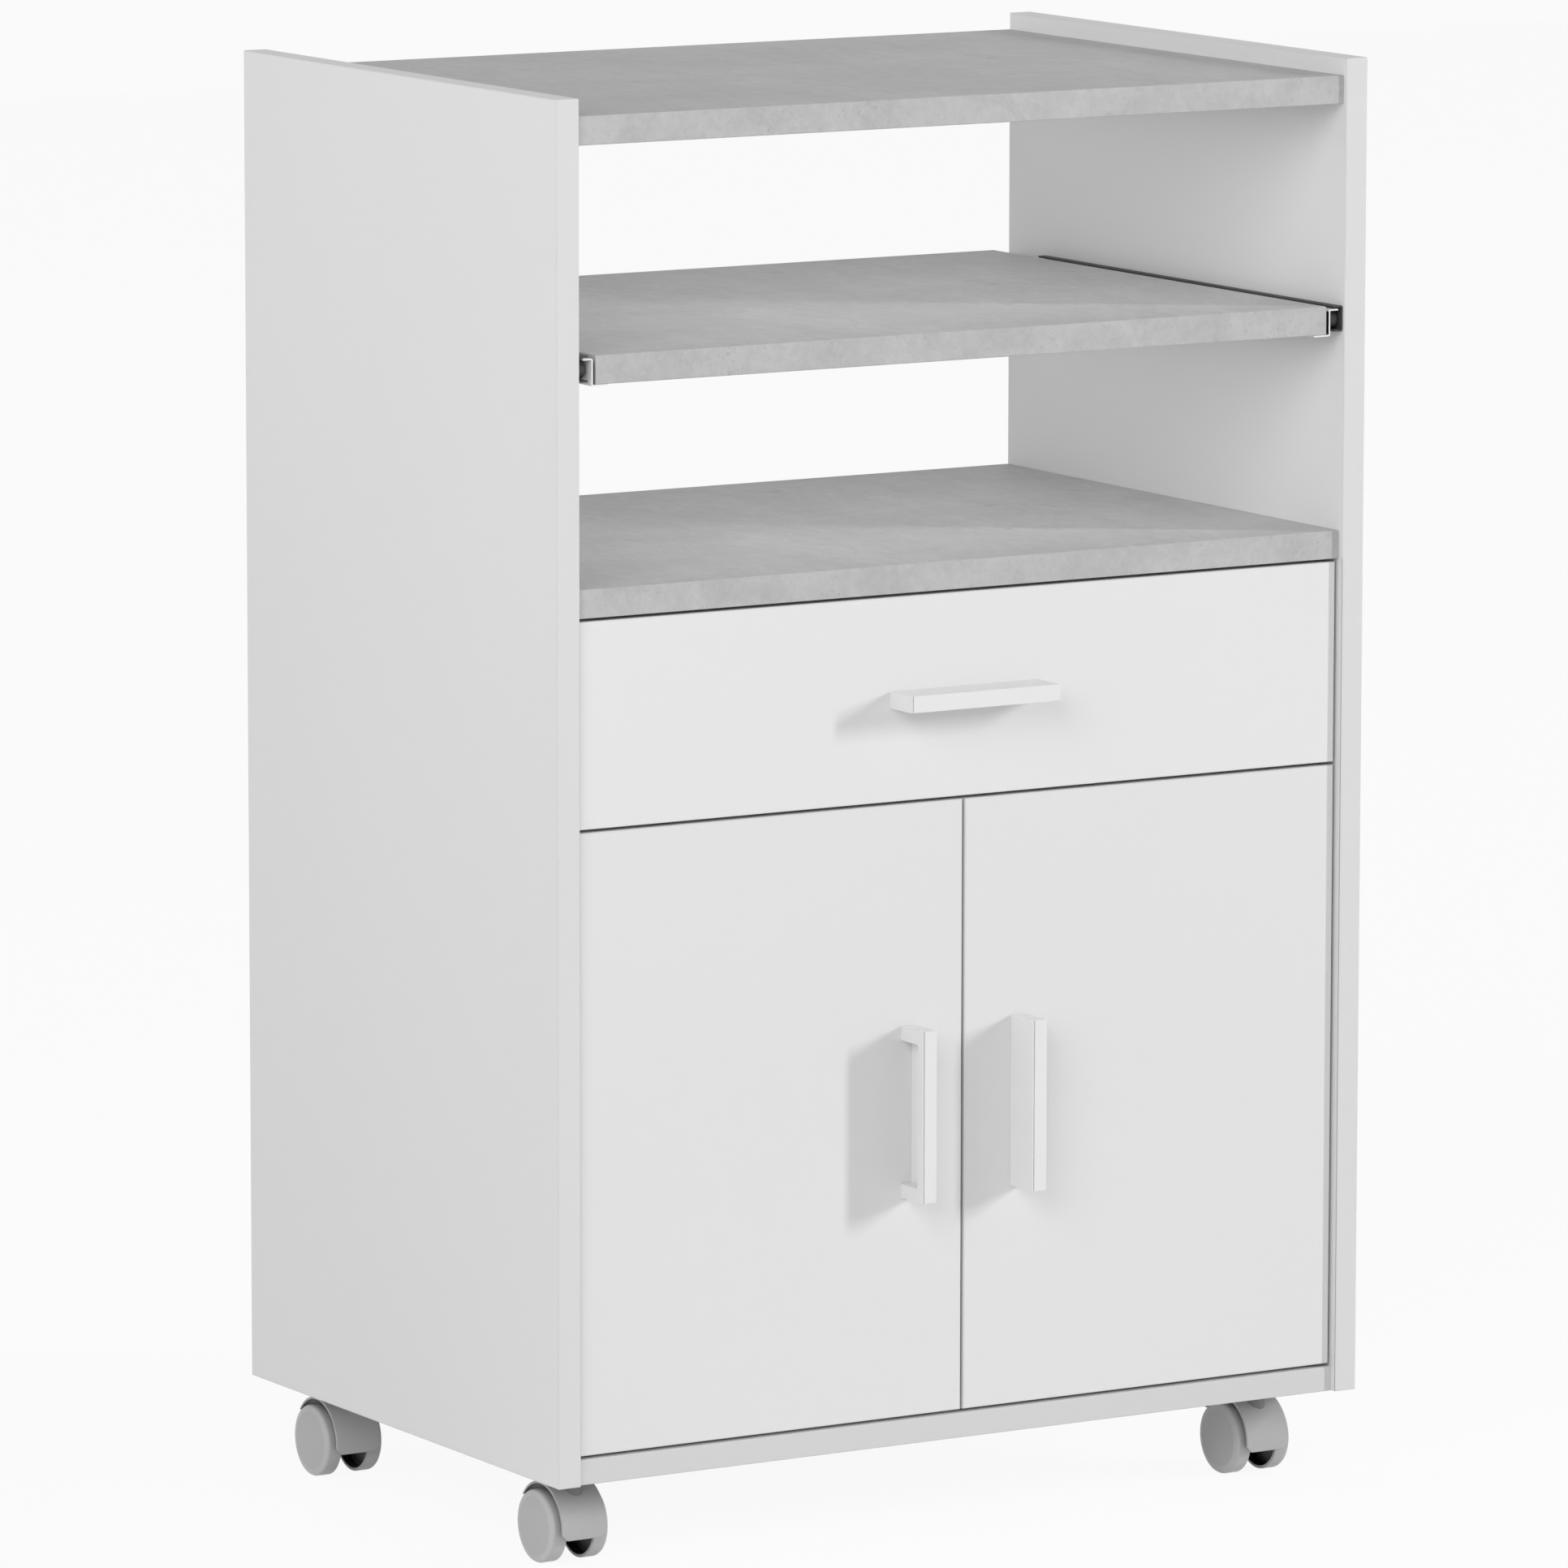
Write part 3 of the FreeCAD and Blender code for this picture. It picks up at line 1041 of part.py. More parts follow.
def caster_mount(name, x, y):
    """The plate under the bottom board with its bearing collar and riveted stem."""
    plate_z = f"({base_z} - sizes.caster_plate_thickness)"
    half = "(sizes.caster_screw_spacing/2 + sizes.caster_plate_margin)"
    plate = box(
        name + "_plate", (f"(2*{half})", f"(2*{half})", "sizes.caster_plate_thickness"),
        (f"({x} - {half})", f"({y} - {half})", plate_z),
    )
    collar_z = f"({plate_z} - sizes.collar_height)"
    collar = rod(
        name + "_collar", "sizes.collar_radius", "sizes.collar_height", (x, y, collar_z), "z"
    )
    stem_length = "(sizes.stem_play + sizes.boss_height - 1.5*sizes.stem_radius)"
    stem = rod(
        name + "_stem", "sizes.stem_radius", f"({stem_length} + sizes.collar_height)",
        (x, y, f"({collar_z} - {stem_length})"), "z",
    )
    holes = []
    for ends, y_sign in (("front", "-"), ("back", "+")):
        for sides, x_sign in (("left", "-"), ("right", "+")):
            at = (
                f"({x} {x_sign} sizes.caster_screw_spacing/2)",
                f"({y} {y_sign} sizes.caster_screw_spacing/2)",
                plate_z,
            )
            screw, shank = wood_screw(f"{name}_screw_{ends}_{sides}", "z", 1, at)
            caster_screws.append(screw)
            caster_cutters.append(shank)
            hole_name = f"{name}_hole_{ends}_{sides}"
            holes.append(clearance_hole(hole_name, "z", "sizes.caster_plate_thickness", at))
    return cut(name, fuse(name + "_metal", [plate, collar, stem]), holes)


caster_screws = []
caster_cutters = []
caster_mounts = []
stem_x = f"({half_width} - sizes.caster_side_inset)"
for end_name, stem_y in (
    ("front", f"({front_y} + sizes.caster_end_inset)"),
    ("back", f"({back_y} - sizes.caster_end_inset)"),
):
    axle_y = f"({stem_y} + sizes.caster_trail)"
    for side_name, x in (("left", f"(-{stem_x})"), ("right", stem_x)):
        caster = f"{end_name}_{side_name}_caster"
        caster_mounts.append(caster_mount(caster + "_mount", x, stem_y))
        node(hood(caster + "_housing", x, axle_y, stem_y), caster + "_hood")
        axle_half = (
            "(sizes.caster_width/2 - sizes.wheel_cap - sizes.axle_end_gap)"
        )
        node(rod(
            caster + "_shaft", "sizes.axle_radius", f"(2*{axle_half})",
            (f"({x} - {axle_half})", axle_y, axle_z), "x",
        ), caster + "_axle")
        for wheel_side, sign in (("left", -1), ("right", 1)):
            wheel_name = f"{caster}_{wheel_side}_wheel"
            node(wheel(wheel_name + "_body", x, axle_y, sign), wheel_name)
node(group("caster_mounts", caster_mounts), "caster_plates")


# --- carcass ---

left_panel_screws = group("left_panel_screws", left_screws)
node(group("carcass_screw_set", [
    left_panel_screws, mirrored("right_panel_screws", left_panel_screws),
] + caster_screws), "carcass_screws")

back_half = f"({inner_half} + sizes.groove_depth - sizes.groove_clearance)"
back_low_z = (
    f"({base_z} + sizes.bottom_thickness - sizes.groove_depth + sizes.groove_clearance)"
)
back_high_z = f"({worktop_z} + sizes.groove_depth - sizes.groove_clearance)"
node(box(
    "back_sheet",
    (f"(2*{back_half})", "sizes.back_thickness", f"({back_high_z} - {back_low_z})"),
    (f"(-{back_half})", back_panel_y, back_low_z),
), "back_panel")
back_groove = box(
    "back_groove",
    (f"(2*{inner_half} + 2*sizes.groove_depth)",
     "(sizes.back_thickness + sizes.groove_clearance)",
     f"({back_high_z} - {back_low_z} + 2*sizes.groove_clearance)"),
    (f"(-{inner_half} - sizes.groove_depth)",
     f"({back_panel_y} - sizes.groove_clearance/2)",
     f"({back_low_z} - sizes.groove_clearance)"),
)

panel = doc.addObject("PartDesign::Body", "side_board")
panel_section = rounded_rectangle(
    panel, "side_section", "XY_Plane", "sizes.side_thickness", "sizes.carcass_depth",
    "sizes.edge_round",
)
panel_pad = padded(panel, panel_section, "sizes.panel_height")
round_faces(panel, panel_pad, [(0, 0, 1), (0, 0, -1)], "sizes.edge_round")
place(panel, (f"(-{half_width})", front_y, base_z))
left_panel = node(
    cut("drilled_side", panel, panel_cutters + [back_groove]), "left_side_panel"
)
node(mirrored("right_side", left_panel), "right_side_panel")

for name, recess, thickness, z, extra in (
    ("top_board", "sizes.top_recess", "sizes.board_thickness", top_board_z, []),
    ("worktop", "sizes.worktop_recess", "sizes.board_thickness", worktop_z, [back_groove]),
    ("bottom_board", "sizes.bottom_recess", "sizes.bottom_thickness", base_z,
     [back_groove] + caster_cutters),
):
    plain = board(
        name + "_blank", f"(sizes.carcass_depth - {recess})", thickness,
        (f"(-{inner_half})", f"({front_y} + {recess})", z),
    )
    node(cut(name + "_cut", plain, board_cutters[name] + extra), name)
rail_blank = box(
    "front_rail_blank", (inner_width, "sizes.rail_board_depth", "sizes.rail_board_thickness"),
    (f"(-{inner_half})", front_rail_y, front_rail_z),
)
node(cut("front_rail_cut", rail_blank, board_cutters["front_rail"]), "front_rail")


# --- check everything, then write one file for each piece ---

doc.recompute()
for made in doc.Objects:
    if "Invalid" in made.State or "Error" in made.State:
        raise RuntimeError("%s did not recompute: %s" % (made.Name, made.State))
os.makedirs("parts", exist_ok=True)
for made in nodes:
    shape = made.Shape
    if shape.isNull() or not shape.isValid() or not shape.Solids:
        raise RuntimeError(made.Label + " has no valid solid")
    shape.exportStep("parts/%s.step" % made.Label)
    print("%-34s %2d solids %12.1f mm3" % (made.Label, len(shape.Solids), shape.Volume))
print(len(nodes), "pieces")
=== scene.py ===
import json
import math
import bmesh
import bpy
import numpy as np
from mathutils import Matrix, Vector


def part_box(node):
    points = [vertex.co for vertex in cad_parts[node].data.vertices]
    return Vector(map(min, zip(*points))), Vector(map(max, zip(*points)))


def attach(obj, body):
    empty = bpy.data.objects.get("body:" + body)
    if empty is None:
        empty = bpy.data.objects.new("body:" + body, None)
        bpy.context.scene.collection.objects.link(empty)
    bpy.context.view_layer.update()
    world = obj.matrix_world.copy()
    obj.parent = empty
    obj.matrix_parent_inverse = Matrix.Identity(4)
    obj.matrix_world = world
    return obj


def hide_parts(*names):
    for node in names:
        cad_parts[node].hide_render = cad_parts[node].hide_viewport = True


# Kitchen cart on casters: finishes, small parts, floor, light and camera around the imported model.
# Metres, in the model's own frame: +X right, +Y back, +Z up, the floor at z = 0.

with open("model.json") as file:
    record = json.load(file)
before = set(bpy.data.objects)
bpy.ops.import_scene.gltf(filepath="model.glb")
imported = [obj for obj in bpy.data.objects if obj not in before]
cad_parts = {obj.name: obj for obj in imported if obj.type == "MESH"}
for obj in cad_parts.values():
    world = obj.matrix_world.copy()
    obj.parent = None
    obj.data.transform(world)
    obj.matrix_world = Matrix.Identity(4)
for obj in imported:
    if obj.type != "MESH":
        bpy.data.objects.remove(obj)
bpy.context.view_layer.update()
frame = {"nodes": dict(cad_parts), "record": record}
nodes = frame["nodes"]
mm = 0.001
print("frame loaded:", len(nodes), "pieces")


# Shader maths: arithmetic on a Signal adds Math nodes to its material.

class Signal:
    def __init__(self, finish, socket):
        self.finish = finish
        self.socket = socket

    def maths(self, operation, first, second=None):
        return self.finish.add("ShaderNodeMath", {"operation": operation}, [first, second])

    def __add__(self, other):
        return self.maths("ADD", self, other)

    def __sub__(self, other):
        return self.maths("SUBTRACT", self, other)

    def __rsub__(self, other):
        return self.maths("SUBTRACT", other, self)

    def __mul__(self, other):
        return self.maths("MULTIPLY", self, other)

    def __pow__(self, other):
        return self.maths("POWER", self, other)

    __radd__ = __add__
    __rmul__ = __mul__

    def size(self):
        return self.maths("ABSOLUTE", self)

    def least(self, other):
        return self.maths("MINIMUM", self, other)

    def most(self, other):
        return self.maths("MAXIMUM", self, other)

    def between(self, low, high):  # 0 below low, 1 above high, a smooth step between them
        settings = {"interpolation_type": "SMOOTHSTEP"}
        return self.finish.add("ShaderNodeMapRange", settings, [self, low, high])


class Finish:
    def __init__(self, name, tree=None, place="Object"):
        if tree is None:
            self.material = bpy.data.materials.new(name)
            self.material.use_nodes = True
            tree = self.material.node_tree
        self.nodes = tree.nodes
        self.links = tree.links
        self.nodes.clear()
        self.place = self.add("ShaderNodeTexCoord", {}, [], place)

    def add(self, kind, settings, inputs, output=0):
        made = self.nodes.new(kind)
        for key, setting in settings.items():
            setattr(made, key, setting)
        named = inputs.items() if isinstance(inputs, dict) else enumerate(inputs)
        for key, given in named:
            if isinstance(given, Signal):
                self.links.new(given.socket, made.inputs[key])
            elif given is not None:
                made.inputs[key].default_value = given
        return Signal(self, made.outputs[output])

    def mapped(self, stretch, shift):
        return self.add("ShaderNodeMapping", {}, {
            "Vector": self.place, "Scale": stretch, "Location": shift,
        })

    def noise(self, scale, detail=4.0, roughness=0.5, stretch=(1, 1, 1), shift=(0, 0, 0), bend=0.0):
        return self.add("ShaderNodeTexNoise", {}, {
            "Vector": self.mapped(stretch, shift), "Scale": scale, "Detail": detail,
            "Roughness": roughness, "Distortion": bend,
        })

    def cells(self, scale):
        return self.add("ShaderNodeTexVoronoi", {}, {
            "Vector": self.mapped((1, 1, 1), (0, 0, 0)), "Scale": scale,
        }, "Distance")

    def parts(self, vector):
        holder = self.add("ShaderNodeSeparateXYZ", {}, [vector]).socket.node
        return [Signal(self, holder.outputs[key]) for key in "XYZ"]

    def mix(self, share, first, second):  # a colour between two colours
        settings = {"data_type": "RGBA"}
        return self.add("ShaderNodeMix", settings, {0: share, 6: first, 7: second}, 2)

    def bump(self, height, strength, distance):
        return self.add("ShaderNodeBump", {}, {
            "Height": height, "Strength": strength, "Distance": distance,
        })

    def end(self, kind, shader):
        self.links.new(shader.socket, self.nodes.new(kind).inputs["Surface"])

    def finished(self, inputs):
        self.end("ShaderNodeOutputMaterial", self.add("ShaderNodeBsdfPrincipled", {}, inputs))
        return self.material


def grey(level):  # a screen level from 0 to 255 as a linear colour
    linear = ((level / 255 + 0.055) / 1.055) ** 2.4
    return (linear, linear, linear, 1.0)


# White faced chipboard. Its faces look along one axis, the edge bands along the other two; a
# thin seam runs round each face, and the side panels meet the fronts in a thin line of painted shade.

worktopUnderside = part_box("worktop")[0][2]

# the joint level and width draw the thin line of painted shade on the side panels beside the fronts
whiteBoard = {
    "face": 229, "drawerFace": 232, "band": 221, "shadedLyingBand": 214, "seam": 200,
    "bandThickness": 0.8 * mm, "joint": 90, "shadeLineWidth": 0.5 * mm,
}


def whiteBoardFinish(name, thickAxis, faceLevel):
    low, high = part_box(name)
    made = Finish("white board " + name.replace("_", " "))
    axes = made.parts(made.place)
    looks = made.parts(made.add("ShaderNodeTexCoord", {}, [], "Normal"))
    others = [axis for axis in range(3) if axis != thickAxis]
    toEdge = None  # the distance to the nearest edge of the face
    for axis in others:
        middle, half = (low[axis] + high[axis]) / 2, (high[axis] - low[axis]) / 2
        here = half - (axes[axis] - middle).size()
        toEdge = here if toEdge is None else toEdge.least(here)
    onFace = looks[thickAxis].size().between(0.75, 0.98)
    seam = 1 - (toEdge - whiteBoard["bandThickness"]).size().between(0.05 * mm, 0.3 * mm)
    band = 1 - onFace
    cloud = made.noise(2.2, 2, 0.4)
    tint = made.mix(cloud.between(0.3, 0.7), grey(faceLevel - 1), grey(faceLevel + 1))
    # painted shade: the boards that lie flat, the bottom board and the front rail, take a darker band
    # level
    tint = made.mix(band, tint, grey(whiteBoard["shadedLyingBand" if thickAxis == 2 else "band"]))
    tint = made.mix(seam * onFace * 0.3, tint, grey(whiteBoard["seam"]))
    # painted shade: a thin dark line on the side panels' front edge at its inner corner, below the
    # worktop
    if thickAxis == 0:
        inner = high[0] if high[0] < 0 else low[0]
        width = whiteBoard["shadeLineWidth"]
        shadeLine = 1 - (axes[0] - inner).size().between(0.3 * width, width)
        beside = 1 - axes[2].between(worktopUnderside, worktopUnderside + 1 * mm)
        tint = made.mix(shadeLine * beside * looks[1].size(), tint, grey(whiteBoard["joint"]))
    pearl = made.noise(1400, 2, 0.5)
    grain = made.noise(260, 3, 0.55)
    return made.finished({
        "Base Color": tint,
        "Roughness": 0.36 + 0.10 * grain + 0.06 * band,
        "Specular IOR Level": 0.42,
        "Normal": made.bump(pearl + 0.5 * grain, 0.12, 0.05 * mm),
    })


# Stone look: clouds, blots and crumbs with small dashes and dust over them. The print on the
# faces is the same on all three boards, so it doesn't depend on height, and painted shade
# darkens the faces towards the left; the edge band carries a finer print of its own.

stoneBoard = {
    "light": 208, "dark": 185, "stain": 168, "bandLight": 196, "bandDark": 178, "bandSpeck": 150,
    "leftShade": 0.5,
}


def stoneFinish():
    made = Finish("stone board")
    flat = (1, 1, 0)
    looks = made.parts(made.add("ShaderNodeTexCoord", {}, [], "Normal"))
    clouds = made.noise(5, 4, 0.5, flat, (3.1, 0.4, 0), 0.4)
    blots = made.noise(26, 4, 0.6, (1.1, 0.5, 0), (7.0, 2.0, 0), 0.6)
    crumbs = made.noise(110, 4, 0.65, (1.2, 0.5, 0), (1.0, 9.0, 0), 0.5)
    dust = made.noise(520, 2, 0.5, flat)
    tone = 0.35 * clouds.between(0.3, 0.7) + 0.25 * blots.between(0.3, 0.7)
    tone = tone + 0.4 * crumbs.between(0.3, 0.7)
    # painted shade: the faces grow darker towards their left end
    tone = tone - stoneBoard["leftShade"] * (1 - made.parts(made.place)[0].between(-0.3, 0.02))
    face = made.mix(tone, grey(stoneBoard["dark"]), grey(stoneBoard["light"]))
    patch = made.noise(11, 3, 0.5, flat, (2.0, 5.0, 0)).between(0.45, 0.62)
    dashes = made.noise(85, 4, 0.6, (0.7, 0.9, 0), (0.3, 0.8, 0), 0.8).between(0.6, 0.68)
    face = made.mix(0.5 * dashes * (0.25 + 0.75 * patch), face, grey(stoneBoard["stain"]))
    face = made.mix(0.3 * dust.between(0.58, 0.7), face, grey(stoneBoard["stain"]))

    even = (1, 1, 1)
    bandClouds = made.noise(30, 4, 0.6, even, (2.0, 0, 0), 0.5)
    bandBlots = made.noise(150, 4, 0.65, even, (4.0, 0, 1.7), 0.6)
    bandTone = 0.45 * bandBlots.between(0.3, 0.7) + 0.55 * bandClouds.between(0.3, 0.7)
    band = made.mix(bandTone, grey(stoneBoard["bandDark"]), grey(stoneBoard["bandLight"]))
    bandSpeck = made.noise(420, 4, 0.7, even, (0, 0, 5.0), 0.4).between(0.54, 0.7)
    bandPatch = made.noise(38, 3, 0.5, even, (9.0, 0, 2.0)).between(0.42, 0.62)
    band = made.mix(0.5 * bandSpeck * (0.15 + 0.85 * bandPatch), band, grey(stoneBoard["bandSpeck"]))

    onFace = looks[2].size().between(0.6, 0.95)
    relief = 0.5 * crumbs + 0.3 * dust + 0.2 * blots
    return made.finished({
        "Base Color": made.mix(onFace, band, face),
        "Roughness": 0.58 + 0.16 * crumbs,
        "Specular IOR Level": 0.35,
        "Normal": made.bump(relief, 0.25, 0.1 * mm),
    })


# Plain finishes of the small and inner parts.

def foilFinish():  # drawer sides and back: thin foil over chipboard
    made = Finish("drawer foil")
    grain = made.noise(220, 4, 0.6, (1, 0.2, 1))
    cloud = made.noise(5, 2, 0.5)
    tint = made.mix(cloud, grey(220), grey(227))
    return made.finished({
        "Base Color": tint, "Roughness": 0.5 + 0.1 * grain, "Normal": made.bump(grain, 0.2, 0.05 * mm),
    })


def hardboardFinish():  # pale lacquer that lets the pressed fibres show a little
    made = Finish("thin hardboard")
    fibre = made.noise(420, 5, 0.7, (1, 1, 0.5), bend=1.0)
    cloud = made.noise(6, 3, 0.5)
    tint = made.mix(0.6 * fibre + 0.4 * cloud, grey(206), grey(228))
    return made.finished({
        "Base Color": tint, "Roughness": 0.62 + 0.1 * fibre, "Normal": made.bump(fibre, 0.3, 0.08 * mm),
    })


def metalFinish(name, dark, light, roughness, spangle, brushed=(1, 1, 1)):
    made = Finish(name)
    crystals = made.cells(spangle)
    fine = made.noise(700, 3, 0.6, brushed)
    patch = made.noise(14, 3, 0.5)
    tone = 0.45 * crystals.between(0.0, 1.0) + 0.3 * fine + 0.25 * patch
    return made.finished({
        "Base Color": made.mix(tone, grey(dark), grey(light)),
        "Metallic": 1.0,
        "Roughness": roughness + 0.16 * fine + 0.08 * patch,
        "Normal": made.bump(fine, 0.15, 0.03 * mm),
    })


def plasticFinish(name, level, roughness, texture, strength, spread=2, hollow=None):
    made = Finish(name)
    cloud = made.noise(22, 3, 0.5)
    skin = made.noise(texture, 2, 0.5)
    tint = made.mix(cloud, grey(level - spread), grey(level + spread))
    if hollow:  # painted shade: the faces' own attribute says how far they take on the darker hollow level
        share = made.add("ShaderNodeAttribute", {"attribute_name": "shade"}, [], "Fac")
        tint = made.mix(share, tint, grey(hollow))
    return made.finished({
        "Base Color": tint,
        "Roughness": roughness + 0.10 * skin + 0.05 * cloud,
        "Normal": made.bump(skin, strength, 0.04 * mm),
    })


# the hollow levels are painted shade: on the runner's web beside the board, inside the hoods, inside the
# wheels
finishes = {
    "drawer_board": foilFinish(),
    "thin_board": hardboardFinish(),
    "runner_sheet": plasticFinish("white coated sheet", 236, 0.34, 1500, 0.1, 1, hollow=30),
    # painted shade: the fixed rails are dark grey, for the shade inside the slide's channel
    "rail_sheet": plasticFinish("dark coated sheet", 62, 0.5, 1500, 0.1, 3),
    "hinge_metal": metalFinish("hinge nickel", 190, 222, 0.2, 900, (1, 0.1, 1)),
    "screw_metal": metalFinish("screw zinc", 180, 222, 0.22, 1200),
    "fitting_metal": metalFinish("cast zinc", 170, 205, 0.4, 900),
    "caster_metal": metalFinish("caster steel", 176, 214, 0.28, 500),
    "white_handle": plasticFinish("white handle", 233, 0.28, 1600, 0.05, 1),
    "roller_plastic": plasticFinish("roller nylon", 66, 0.42, 900, 0.1),
    "caster_plastic": plasticFinish("caster plastic", 182, 0.42, 2200, 0.16, hollow=28),
    "wheel_plastic": plasticFinish("wheel plastic", 192, 0.4, 2200, 0.16, hollow=28),
}
# painted shade: the hub and web under the hood are nearly black, for the dark inside of the hood
casterCoreShadeFinish = plasticFinish("caster core", 34, 0.6, 900, 0.1)
# painted shade: the stem's boss is a mid grey, for the shade under the board's edge
stemBossShadeFinish = plasticFinish("caster boss", 128, 0.5, 900, 0.1)
slotOf = {entry["node"]: entry["material_slot"] for entry in frame["record"]["subparts"]}
for name, slotName in slotOf.items():
    if slotName in finishes:
        nodes[name].data.materials.clear()
        nodes[name].data.materials.append(finishes[slotName])
print("finishes made:", len(bpy.data.materials))


# Mesh tools. Shapes are arrays of points; the faces come from the grid that they lie on.

def gridFaces(rows, columns, closeRows=False, closeColumns=False):
    # every cell of the grid is one quad; a closed direction joins its last line to its first
    i = np.arange(rows if closeRows else rows - 1)[:, None]
    j = np.arange(columns if closeColumns else columns - 1)[None, :]
    below, beside = (i + 1) % rows, (j + 1) % columns
    corners = (i * columns + j, below * columns + j, below * columns + beside, i * columns + beside)
    return np.stack([corner + 0 * (i + j) for corner in corners], -1).reshape(-1, 4).tolist()


def rounded(corners, radii, steps=5):
    # each corner becomes an arc that touches both of its sides; radius 0 leaves it sharp
    corners = np.asarray(corners, float)
    radii = np.zeros(len(corners)) + radii
    back = np.roll(corners, 1, 0) - corners
    onward = np.roll(corners, -1, 0) - corners
    back /= np.linalg.norm(back, axis=1, keepdims=True)
    onward /= np.linalg.norm(onward, axis=1, keepdims=True)
    middle = back + onward
    middle /= np.linalg.norm(middle, axis=1, keepdims=True)
    cosHalf = (back * middle).sum(1)
    sinHalf = np.sqrt(1 - cosHalf ** 2)
    centre = corners + middle * (radii / sinHalf)[:, None]
    reach = (radii * cosHalf / sinHalf)[:, None]
    first = corners + back * reach - centre
    last = corners + onward * reach - centre
    begin = np.arctan2(first[:, 1], first[:, 0])
    sweep = np.arctan2(last[:, 1], last[:, 0]) - begin
    sweep = (sweep + np.pi) % (2 * np.pi) - np.pi
    angles = begin[:, None] + sweep[:, None] * np.linspace(0, 1, steps)
    arcs = centre[:, None] + radii[:, None, None] * np.stack([np.cos(angles), np.sin(angles)], -1)
    return arcs.reshape(-1, 2)


def turned(profile, steps=72, ring=False):
    # the profile's points (along, radius) go round the x axis; a ring's profile is closed
    along, radius = np.asarray(profile, float).T
    angle = np.linspace(0, 2 * np.pi, steps, endpoint=False)
    points = np.stack([
        along[:, None] + 0 * angle, radius[:, None] * np.cos(angle), radius[:, None] * np.sin(angle),
    ], -1)
    return points.reshape(-1, 3), gridFaces(len(along), steps, ring, True)


def carried(sections):
    # one closed outline for each station along the way, with a flat face at both ends
    stations, count = sections.shape[:2]
    faces = gridFaces(stations, count, closeColumns=True)
    faces += [list(range(count)), list(range((stations - 1) * count, stations * count))]
    return sections.reshape(-1, 3), faces


def joined(shapes):
    # the point lists one after another, each with its faces counted on from where it starts
    starts = np.cumsum([0] + [len(points) for points, faces in shapes])
    faces = [
        [corner + int(start) for corner in face]
        for start, (points, someFaces) in zip(starts, shapes) for face in someFaces
    ]
    return np.concatenate([points for points, someFaces in shapes]), faces


merging = {"near": 0.002 * mm, "tiny": 0.001 * mm, "flatAngle": 0.5, "sharpAngle": 40}


def piece(name, shape, body, slotName, replaced=(), finish=None, shade=None):
    points, faces = shape
    mesh = bpy.data.meshes.new(name)
    mesh.from_pydata(np.asarray(points).tolist(), [], faces)
    if shade is not None:  # one value for each face, and 0 for the faces after the last one
        marks = np.append(shade, np.zeros(len(faces) - len(shade)))
        mesh.attributes.new("shade", "FLOAT", "FACE").data.foreach_set("value", marks)
    return tidied(name, mesh, body, slotName, replaced, finish)


def tidied(name, mesh, body, slotName, replaced, finish=None, flatten=False):
    # corners in one place merge, flat faces join where asked, and normals point outwards
    tidy = bmesh.new()
    tidy.from_mesh(mesh)
    bmesh.ops.remove_doubles(tidy, verts=tidy.verts, dist=merging["near"])
    bmesh.ops.dissolve_degenerate(tidy, edges=tidy.edges, dist=merging["tiny"])
    if flatten:
        bmesh.ops.dissolve_limit(
            tidy, angle_limit=math.radians(merging["flatAngle"]), verts=tidy.verts, edges=tidy.edges,
        )
    bmesh.ops.recalc_face_normals(tidy, faces=tidy.faces)
    tidy.to_mesh(mesh)
    tidy.free()
    mesh.shade_smooth()
    mesh.set_sharp_from_angle(angle=math.radians(merging["sharpAngle"]))
    made = bpy.data.objects.new(name, mesh)
    bpy.context.scene.collection.objects.link(made)
    mesh.materials.clear()
    mesh.materials.append(finish or finishes[slotName])
    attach(made, body)
    if replaced:
        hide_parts(*replaced)
    return made


def bevelled(made, width, segments, angle):
    # edges sharper than the angle are rounded, and the wide faces beside them stay flat
    made.data.shade_smooth()
    soft = made.modifiers.new("soft edges", "BEVEL")
    soft.width = width
    soft.segments = segments
    soft.limit_method = "ANGLE"
    soft.angle_limit = math.radians(angle)
    even = made.modifiers.new("even faces", "WEIGHTED_NORMAL")
    even.weight = 100
    even.keep_sharp = True


bodies = frame["record"]["behaviour"]["bodies"]
bodyOf = {name: body for body, names in bodies.items() for name in names}


def eased(name, width, finish=None):
    # a copy of the CAD solid with its flat faces in one piece each and its sharp edges rounded
    mesh = nodes[name].data.copy()
    made = tidied(name + "_eased", mesh, bodyOf[name], slotOf[name], [name], finish, flatten=True)
    bevelled(made, width, 2, 30)


def solidsOf(name):
    # the separate solids of a node: corners in the same place are one, and every triangle
    # passes on its lowest label until no label changes
    mesh = nodes[name].data
    points = np.empty(len(mesh.vertices) * 3)
    mesh.vertices.foreach_get("co", points)
    corners = np.empty(len(mesh.loops), int)
    mesh.loops.foreach_get("vertex_index", corners)
    places, where = np.unique(np.round(points.reshape(-1, 3), 7), axis=0, return_inverse=True)
    triangles = where.ravel()[corners].reshape(-1, 3)
    labels = np.arange(len(places))
    while True:
        lowest = np.repeat(labels[triangles].min(1), 3)
        passed = labels.copy()
        np.minimum.at(passed, triangles.ravel(), lowest)
        passed = passed[passed]
        if (passed == labels).all():
            break
        labels = passed
    return [places[labels == label] for label in np.unique(labels)]


def laid(points, axis, sign, start):
    # a part turned about x is laid along another axis, in its direction, from a starting point
    order = [[0, 1, 2], [2, 0, 1], [1, 2, 0]][axis]
    out = points[:, order].copy()
    out[:, axis] *= sign
    return out + start


# Boards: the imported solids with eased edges.

easing = {"board": 0.4 * mm, "drawer": 0.3 * mm, "hinge": 0.3 * mm, "fitting": 0.3 * mm}

